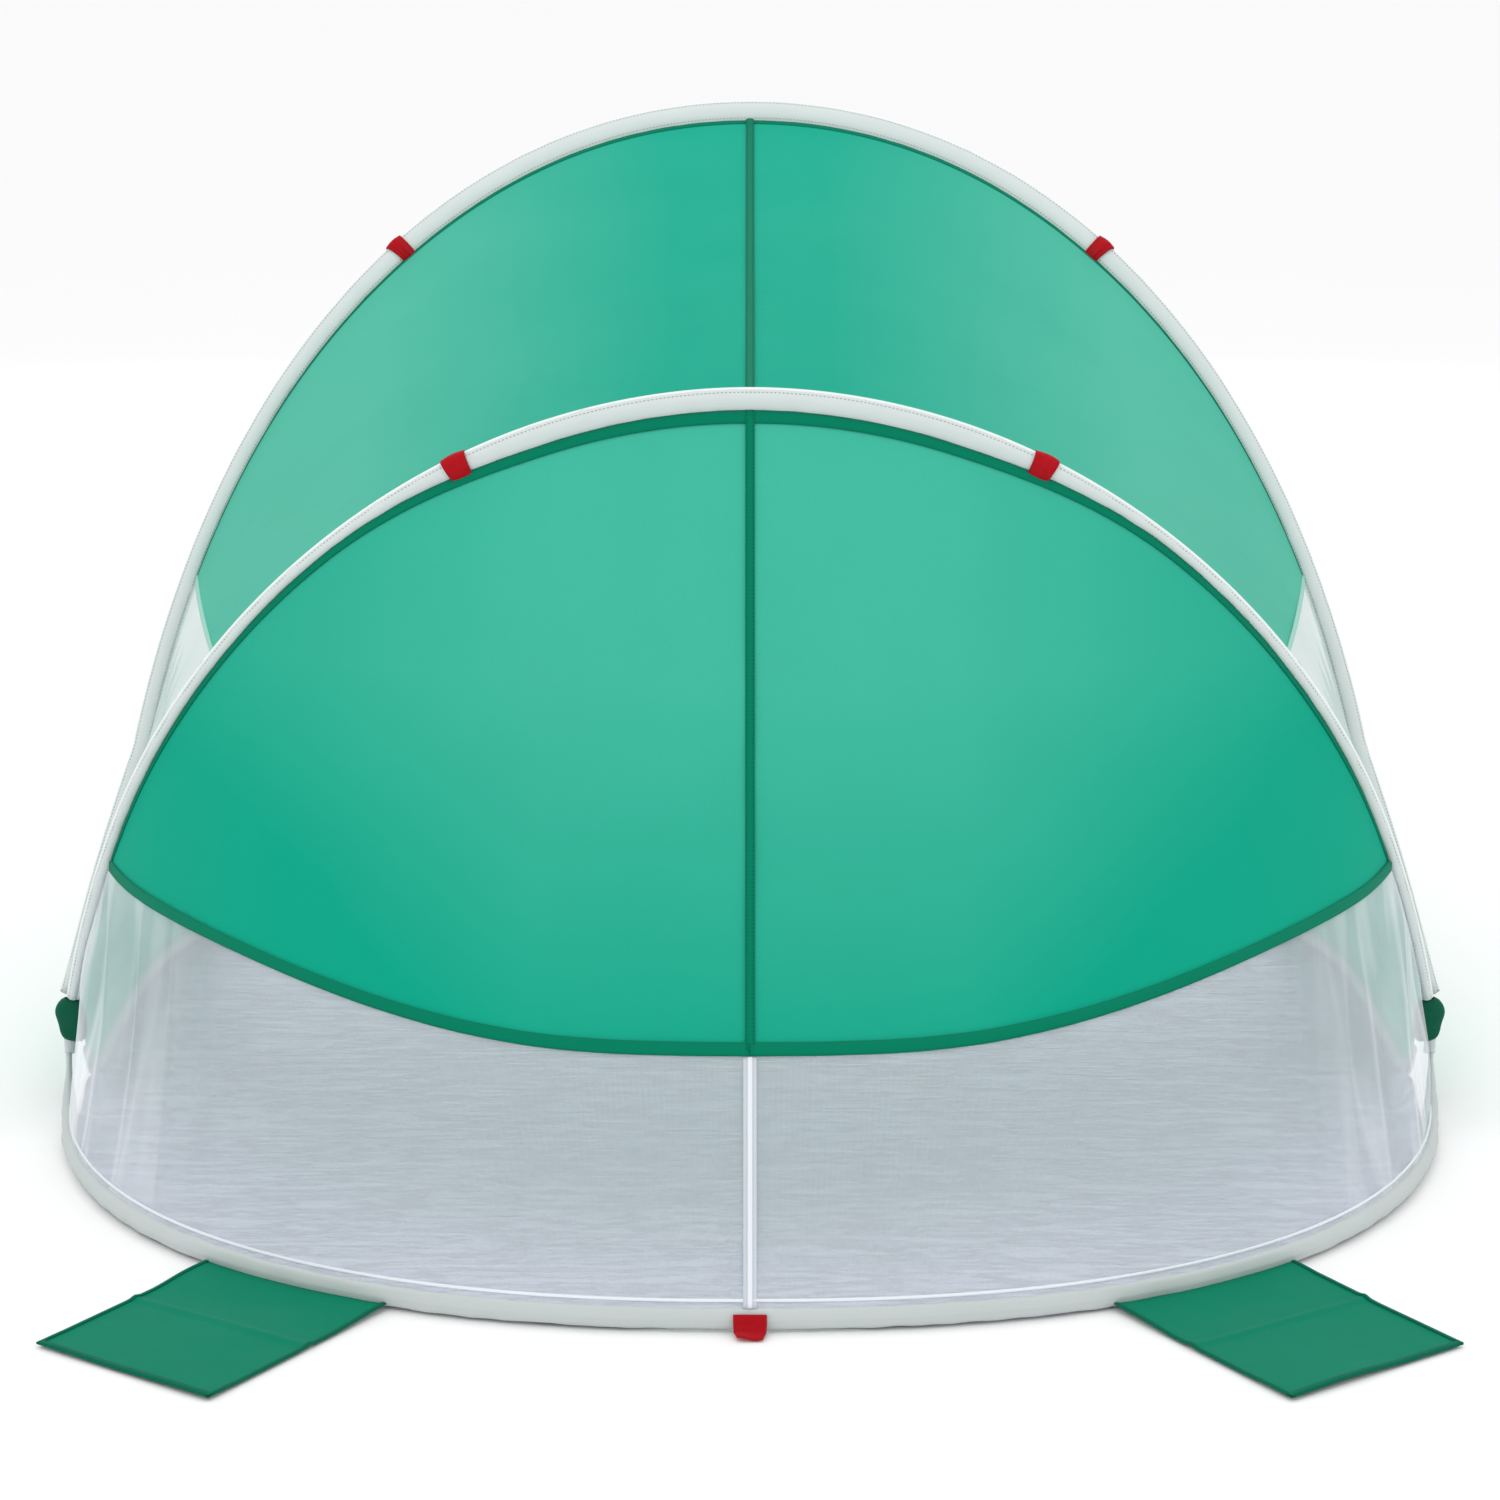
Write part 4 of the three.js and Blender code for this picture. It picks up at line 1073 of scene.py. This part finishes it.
class SHELTER_OT_window(bpy.types.Operator):
    """Make the net window below the back cloth, with its middle tape and ground seam"""

    bl_idname = "shelter.window"
    bl_label = "Net window"

    def execute(self, context):
        along, share = grid(180, 50)
        angle = lerp(CROWN, WALL_FOOT, along)
        top = hem_share(angle)
        for word, side in SIDES.items():
            surface = mirrored(wall_points(angle, lerp(top, 1.0, share)), side)
            x = np.abs(surface[..., 0])
            near_side = smooth((x - 0.42) / 0.2)
            pleats = np.sin(x * 150.0 + 1.3 * np.sin(share * 3.0)) * 0.0045
            loose = np.sin(math.pi * np.clip(share, 0, 1)) ** 0.5
            ripple = wrinkle(surface, np.array([4.0, 10.0, 14.0]), 9.0) * 0.0018
            push = (pleats * near_side + ripple) * loose
            surface = surface + surface_normal(surface) * push[..., None]
            piece = cloth(f"window_net_{word}", surface, finish("window"))
            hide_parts(f"rear_net_{word}")
            blend_wall(piece)
            trim = [self.ground_seam(word, side)]
            declare_sheet(piece)
        self.middle_tape()
        return {"FINISHED"}

    def ground_seam(self, word, side):
        """The folded white edge that joins the net to the ground sleeve."""
        across, along = grid(4, 140)
        angle = lerp(CROWN, WALL_FOOT, along)
        share = 1 - (SEAM_ABOVE - across * SEAM_TALL) / wall_drop(angle)
        surface = mirrored(wall_points(angle, share, 0.0010), side)
        piece = tape(f"window_ground_seam_{word}", surface, 0.0014, finish("tape"), 0.0006)
        return blend_wall(piece)

    def middle_tape(self):
        line, down = grid(9, 50)
        angle = 0 * line + CROWN
        strip = wall_points(angle, lerp(hem_share(angle), 1.0, down), 0.0014)
        for name, half, lift, tone, crown in (
            ("window_tape_cloth", 0.0062, 0.0, "tape_edge", 0.0006),
            ("window_tape_fold", 0.0022, 0.0014, "tape", 0.0012),
        ):
            strip[..., 0] = lerp(-half, half, line)
            raised = strip[:, 1:] + WALL_OUT * lift
            piece = tape(name, raised, 0.0014, finish(tone), crown)
            if not lift:
                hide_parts("rear_net_tape")
            blend_wall(piece)


# ------------------------------------------------------------ floor and gussets

FLOOR_BACK = -0.592
FLOOR_FRONT = 0.657
FLOOR_MARGIN = 0.007  # inside the middle of the ground rings
FLOOR_WIDEST = 0.686
GUSSET_START = 0.020  # its lower edge starts this far in front of the crossing
GUSSET_PEAK = 0.42  # share of its length at which it is highest
GUSSET_LOW, GUSSET_HIGH = 0.085, 0.30  # lengths up the front arch that its back edge follows
GUSSET_TIP = 0.026
GUSSET_DIP = 0.018


class SHELTER_OT_floor(bpy.types.Operator):
    """Make the one-piece floor cloth inside the two ground rings"""

    bl_idname = "shelter.floor"
    bl_label = "Floor"

    def execute(self, context):
        rows = np.linspace(-1, 1, 181)
        depth = np.linspace(FLOOR_BACK, FLOOR_FRONT, 220)
        across = np.where(depth < 0, REAR.across_at(depth), FORE.across_at(depth)) - FLOOR_MARGIN
        across = np.minimum(across, FLOOR_WIDEST)
        x = rows[:, None] * across[None, :]
        y = np.broadcast_to(depth, x.shape)
        flat = np.stack([x, y, 0 * x], -1)
        rise = np.abs(wrinkle(flat, np.array([2.2, 16.0, 1.0]), 1.0)) * 0.7
        rise = rise + np.abs(wrinkle(flat, np.array([7.0, 30.0, 1.0]), 5.0)) * 0.3
        inside = 1 - np.abs(rows[:, None]) ** 6
        z = FLOOR_FACE + sizes().floor_wrinkle * rise * inside
        edge = smooth((np.abs(rows[:, None]) - 0.975) / 0.025)
        lifted = np.where(depth < 0, REAR.lift(-depth), FORE.lift(depth))[None, :] - GROUND_Z
        z = z + edge * (0.004 + np.minimum(lifted, 0.02))
        surface = np.stack([x, y, z], -1)
        piece = cloth("floor_cloth_sheet", surface, finish("floor"))
        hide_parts("rear_floor_sheet", "front_floor_sheet")
        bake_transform(piece)
        declare_sheet(piece)
        return {"FINISHED"}


class SHELTER_OT_gussets(bpy.types.Operator):
    """Make the low green side walls in front of the front arch's legs"""

    bl_idname = "shelter.gussets"
    bl_label = "Side gussets"

    def execute(self, context):
        box = [np.array(corner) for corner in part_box("side_gusset_right")]
        up, along = grid(40, 80)
        far = box[1][1] + 0.004
        y = lerp(GUSSET_START, far, along)
        low = np.stack([FORE.across_at(y), y, FORE.lift(y) + 0.008], -1)
        leg_share = np.clip(along / GUSSET_PEAK, 0, 1)
        climb = lerp(GUSSET_LOW, GUSSET_HIGH, leg_share)
        angle = np.arcsin((climb / FRONT.rise) ** (FRONT.m / 2))
        leg = FRONT.edge(angle, 0.2, SLEEVE_THICK * 0.45)
        highest = np.full_like(along, FRONT.angle_at(GUSSET_HIGH))
        top_foot = FRONT.edge(highest, 0.2, SLEEVE_THICK * 0.45)
        tip = np.array([FORE.across_at(far), far, GUSSET_TIP])
        rest = ((along - GUSSET_PEAK) / (1 - GUSSET_PEAK)).clip(0, 1)[..., None]
        falling = lerp(top_foot, tip, rest)
        falling[..., 2] -= GUSSET_DIP * np.sin(math.pi * rest[..., 0])
        top = np.where((along < GUSSET_PEAK)[..., None], leg, falling)
        for word, side in SIDES.items():
            surface = lerp(low, top, up[..., None])
            surface = mirrored(surface, side)
            folds = wrinkle(surface, np.array([6.0, 10.0, 10.0]), 3.0) * 0.003
            middle = (4 * up * (1 - up))[..., None]
            surface = surface + surface_normal(surface) * folds[..., None] * middle
            piece = cloth(f"gusset_cloth_{word}", surface, finish("gusset"))
            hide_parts(f"side_gusset_{word}")
            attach(piece, "front_arch")
            rim = tape(f"gusset_rim_{word}", surface[-4:, :], 0.0016, finish("trim"), 0.0004)
            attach(rim, "front_arch")
            for part in (piece, rim):
                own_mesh(part)
            declare_sheet(piece)
        return {"FINISHED"}


# ------------------------------------------------------------ crossings, tabs and flaps

MID_TAB_X, MID_TAB_LENGTH = 0.285, 0.026
FRONT_TAB_X, FRONT_TAB_LENGTH = 0.391, 0.019
TAB_SURFACES = (("outer", 0.0030), ("inner", 0.0012))  # each one's distance from the sleeve
TAB_ROWS = 13
TAB_STATIONS = 1200
TAB_SQUARE = 2.7  # 2 is round, more is squarer
TAB_LOWEST = 0.3
GUARD_BORE = 0.72  # of a guard's outside radius
GUARD_LIP = 0.04


def rounded_loop(half_x, half_y, power, count=28):
    turn = np.linspace(0, 2 * math.pi, count, endpoint=False)
    c, s = np.cos(turn), np.sin(turn)
    return np.stack([np.sign(c) * np.abs(c) ** (2 / power) * half_x,
                     np.sign(s) * np.abs(s) ** (2 / power) * half_y], -1)


class SHELTER_OT_crossings(bpy.types.Operator):
    """Make the webbing wraps and the clear guards where the hoops cross"""

    bl_idname = "shelter.crossings"
    bl_label = "Hoop crossings"

    def execute(self, context):
        low, high = np.array(STRAP_LOW), np.array(STRAP_HIGH)
        middle, half = (low + high) / 2, (high - low) / 2
        rows = np.linspace(-1, 1, 17)
        for word, side in SIDES.items():
            outer, inner = [], []
            for t in rows:
                pinch = 0.66 + 0.34 * math.sqrt(1 - t**2) + 0.03 * math.sin(5 * t)
                reach = half[:2] * pinch
                ring = rounded_loop(*reach, STRAP_SQUARE)
                hole = rounded_loop(*(reach - STRAP_WALL), STRAP_SQUARE)
                for loop in (ring, hole):
                    outside = np.maximum(0, loop[:, 0] * side)
                    loop[:, 0] += side * outside * 0.3 * (1 - t**4)
                height = middle[2] + t * half[2] - STRAP_SLIP
                for found, loop in ((outer, ring), (inner, hole)):
                    lean = 0.0012 * math.sin(3 * t) * side
                    found.append(np.stack([
                        side * middle[0] + loop[:, 0] + lean, loop[:, 1] + middle[1],
                        height + 0.0015 * loop[:, 0] / half[0] * side], -1))
            piece = shell(f"crossing_wrap_{word}", np.array(outer), np.array(inner), finish("strap"))
            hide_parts(f"crossing_strap_{word}")
            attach(piece, "rear_floor")
            self.guard(word, side)
        return {"FINISHED"}

    def guard(self, word, side):
        low, high = np.array(GUARD_LOW), np.array(GUARD_HIGH)
        middle, radius = (low + high) / 2, (high[0] - low[0]) / 2
        turn = np.linspace(0, 2 * math.pi, 36, endpoint=False)
        rows = np.linspace(0, 1, 10)
        lips = 1.0
        for end in (0.02, 0.98):
            lips = lips + GUARD_LIP * np.exp(-((rows - end) / 0.06) ** 2)
        tubes = []
        for wall in (1.0, GUARD_BORE):
            tubes.append(np.array([
                np.stack([side * middle[0] + np.cos(turn) * radius * wall * lip,
                          middle[1] + np.sin(turn) * radius * wall * lip,
                          0 * turn + lerp(low[2], high[2], t)], -1)
                for t, lip in zip(rows, lips)]))
        piece = shell(f"clear_guard_{word}", tubes[0], tubes[1], finish("clear"))
        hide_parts(f"wire_guard_{word}")
        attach(piece, "rear_floor")


def tab_round(name, arch, middle_x, length, side, node, body):
    """A webbing tab folded round an arch's sleeve, with turned edges."""
    centre, along, outward, across, total = arch.path(TAB_STATIONS, FRONT_SLEEVE_FOOT)
    place = int(np.argmin(np.abs(centre[:, 0] - side * middle_x) + (centre[:, 2] < TAB_LOWEST)))
    half_rows = max(3, int(length / 2 / (total / (TAB_STATIONS - 1))))
    picked = np.linspace(place - half_rows, place + half_rows, TAB_ROWS).astype(int)
    width = float(arch.width(centre[place]))
    centre = centre + outward * arch.turned(centre)[:, None]
    loops = {}
    for word, grow in TAB_SURFACES:
        ring = rounded_loop(width / 2 + grow, SLEEVE_THICK / 2 + grow, TAB_SQUARE)
        rows = []
        for t, row in zip(np.linspace(-1, 1, TAB_ROWS), picked):
            swell = 1 + 0.03 * math.cos(3 * t) - 0.05 * abs(t) ** 6
            skew = 0.0016 * t
            rows.append(centre[row] + outward[row] * (ring[:, :1] * swell)
                        + across[row] * (ring[:, 1:] * swell)
                        + along[row] * (skew * ring[:, :1] / width))
        loops[word] = np.array(rows)
    piece = shell(name, loops["outer"], loops["inner"], finish("tabs"))
    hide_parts(node)
    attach(piece, body)


class SHELTER_OT_tabs(bpy.types.Operator):
    """Make the red webbing tabs on the arches and the peg tab at the rear"""

    bl_idname = "shelter.tabs"
    bl_label = "Webbing tabs"

    def execute(self, context):
        for word, side in SIDES.items():
            tab_round(f"mid_tab_webbing_{word}", MID, MID_TAB_X, MID_TAB_LENGTH, side,
                      f"mid_tab_{word}", "mid_arch")
            tab_round(f"front_tab_webbing_{word}", FRONT, FRONT_TAB_X, FRONT_TAB_LENGTH, side,
                      f"front_tab_{word}", "front_arch")
        low, high = (np.array(c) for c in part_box("rear_peg_tab"))
        across, down = grid(13, 30)
        face = high[1] - 0.0005
        bend = smooth((down - 0.28) / 0.2)
        y = face - 0.0016 - (down.clip(0.30, 1) - 0.30) / 0.70 * 0.0155
        z = lerp(0.0175 - down * 0.03, 0.0022, bend)
        z = np.maximum(z, 0.0018) + 0.0014 * np.sin(across * 5 + 1) * down**2
        half = lerp(high[0], high[0] * 0.78, smooth((down - 0.25) / 0.75))
        x = (across * 2 - 1) * half
        strip = np.stack([x, y, z], -1)
        piece = tape("peg_tab_webbing", strip, 0.0020, finish("tabs"), 0.0004)
        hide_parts("rear_peg_tab")
        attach(piece, "rear_floor")
        return {"FINISHED"}


FLAP_HEADING = math.radians(-55.6)
FLAP_SHIFT = 0.059
FLAP_HALF = 0.101
FLAP_END = 0.880  # along the heading, from the shelter's middle
FLAP_BEND = 0.0035  # the flap leaves the sleeve this far above the ground
FLAP_CREASE = 0.0018


class SHELTER_OT_flaps(bpy.types.Operator):
    """Make the two sand flaps that lie out behind the rear ground sleeve"""

    bl_idname = "shelter.flaps"
    bl_label = "Sand flaps"

    def execute(self, context):
        heading = np.array([math.cos(FLAP_HEADING), math.sin(FLAP_HEADING)])
        sideways = np.array([-heading[1], heading[0]])
        centre, _, outward, _, _ = REAR.path(600, 0.02)
        rim = (centre + outward * 0.0035)[:, :2]
        keep = rim[:, 0] > 0
        lateral, reach = (rim @ sideways)[keep], (rim @ heading)[keep]
        order = np.argsort(lateral)
        across, out = grid(60, 70)
        place = FLAP_SHIFT + (across * 2 - 1) * FLAP_HALF
        start = np.interp(place, lateral[order], reach[order])
        distance = lerp(start, FLAP_END - 0.002, out)
        flat = distance[..., None] * heading + place[..., None] * sideways
        droop = FLAP_BEND * (1 - smooth(out / 0.34))
        for word, side in SIDES.items():
            body = f"flap_{word}"
            points = np.stack([flat[..., 0], flat[..., 1], 0 * out], -1)
            wave = wrinkle(points, 9.0, 7.0 + side) * 0.004
            crease = FLAP_CREASE * np.exp(-((out - 0.44) / 0.02) ** 2)
            points[..., 2] = 0.0016 + droop + np.maximum(0, wave * smooth(out * 4)) + crease
            surface = mirrored(points, side)
            piece = cloth(f"sand_flap_cloth_{word}", surface, finish("flap"))
            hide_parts(f"sand_flap_{word}")
            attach(piece, body)
            trim = self.binding(word, surface, body)
            declare_sheet(piece)
        return {"FINISHED"}

    def binding(self, word, surface, body):
        """Folded binding round the three free edges."""
        edges = {"outer": surface[:, -3:], "near": surface[:2, :].transpose(1, 0, 2),
                 "far": surface[-2:, :].transpose(1, 0, 2)}
        made = []
        for name, strip in edges.items():
            piece = tape(f"flap_binding_{name}_{word}", strip + [0, 0, 0.0004], 0.0020,
                         finish("flap_edge"), 0.0002)
            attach(piece, body)
            made.append(piece)
        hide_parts(f"sand_flap_binding_{word}")
        return made


# ------------------------------------------------------------ stage

CAMERA_PLACE = (0.0, -3.7588, 1.3681)
CAMERA_DOWN = math.radians(14.805)
CAMERA_LENS = 91.91
STUDIO_SIZE = 40
STUDIO_DROP = 0.002  # the studio floor is this far below the cloth
STUDIO_AIM = Vector((0, 0, 0.4))
STUDIO_LIGHTS = (  # name, place, size and power
    ("key", (-1.8, -3.4, 3.6), 3.0, 22),
    ("fill", (2.8, -2.6, 2.4), 3.0, 8),
    ("top", (0.0, 0.6, 4.2), 3.4, 14),
    ("front", (0.0, 4.0, 2.2), 3.0, 16),
)


class SHELTER_OT_stage(bpy.types.Operator):
    """Set up the pale floor, the soft studio light and the camera"""

    bl_idname = "shelter.stage"
    bl_label = "Stage"

    def execute(self, context):
        scene = context.scene
        scene.view_settings.view_transform = "Standard"
        self.ground()
        self.lights(scene)
        camera_data = bpy.data.cameras.new("camera")
        camera = bpy.data.objects.new("camera", camera_data)
        scene.collection.objects.link(camera)
        camera_data.sensor_width = 36.0
        camera_data.lens = CAMERA_LENS
        camera.location = CAMERA_PLACE
        camera.rotation_euler = (CROWN - CAMERA_DOWN, 0.0, 0.0)
        camera_data.clip_end = 100
        scene.camera = camera
        return {"FINISHED"}

    def ground(self):
        made = Finish("studio_floor")
        speck = made.fog(made.place(), 3.0, 2.0)
        tone = made.blend(speck * 0.2, (0.96, 0.96, 0.96, 1), (0.94, 0.94, 0.94, 1))
        made.done(made.surface(tone, 0.9))
        corners = ((-1, -1), (1, -1), (1, 1), (-1, 1))
        points = [(x * STUDIO_SIZE, y * STUDIO_SIZE, -STUDIO_DROP) for x, y in corners]
        floor = new_mesh("studio_floor", points, [(0, 1, 2, 3)], None, made.material)

    def lights(self, scene):
        world = bpy.data.worlds.new("studio")
        scene.world = world
        world.use_nodes = True
        back = world.node_tree.nodes["Background"]
        back.inputs["Color"].default_value = (1, 1, 1, 1)
        back.inputs["Strength"].default_value = 1.0
        for name, place, size, power in STUDIO_LIGHTS:
            data = bpy.data.lights.new(name, "AREA")
            data.size, data.energy = size, power
            lamp = bpy.data.objects.new(name, data)
            lamp.location = place
            aim = STUDIO_AIM - Vector(place)
            lamp.rotation_euler = aim.to_track_quat("-Z", "Y").to_euler()
            scene.collection.objects.link(lamp)


# ------------------------------------------------------------ panel and registration

STEPS = (
    SHELTER_OT_stage,
    SHELTER_OT_sleeves,
    SHELTER_OT_wires,
    SHELTER_OT_roof,
    SHELTER_OT_sides,
    SHELTER_OT_back,
    SHELTER_OT_window,
    SHELTER_OT_floor,
    SHELTER_OT_gussets,
    SHELTER_OT_crossings,
    SHELTER_OT_tabs,
    SHELTER_OT_flaps,
)


class SHELTER_PT_panel(bpy.types.Panel):
    """The shelter's pieces, sizes and colours"""

    bl_idname = "SHELTER_PT_panel"
    bl_label = "Pop-up shelter"
    bl_space_type = "VIEW_3D"
    bl_region_type = "UI"
    bl_category = "Shelter"

    def draw(self, context):
        for group in (context.scene.shelter_sizes, context.scene.shelter_colours):
            for key in group.__annotations__:
                self.layout.prop(group, key)
        for step in STEPS:
            self.layout.operator(step.bl_idname)


CLASSES = (ShelterColours, ShelterSizes, *STEPS, SHELTER_PT_panel)


def register():
    for made in CLASSES:
        bpy.utils.register_class(made)
    bpy.types.Scene.shelter_colours = bpy.props.PointerProperty(type=ShelterColours)
    bpy.types.Scene.shelter_sizes = bpy.props.PointerProperty(type=ShelterSizes)


def unregister():
    del bpy.types.Scene.shelter_sizes
    del bpy.types.Scene.shelter_colours
    for made in reversed(CLASSES):
        bpy.utils.unregister_class(made)


def main():
    register()
    for step in STEPS:
        group, name = step.bl_idname.split(".")
        getattr(getattr(bpy.ops, group), name)()
    bpy.context.view_layer.update()


if __name__ == "__main__":
    main()
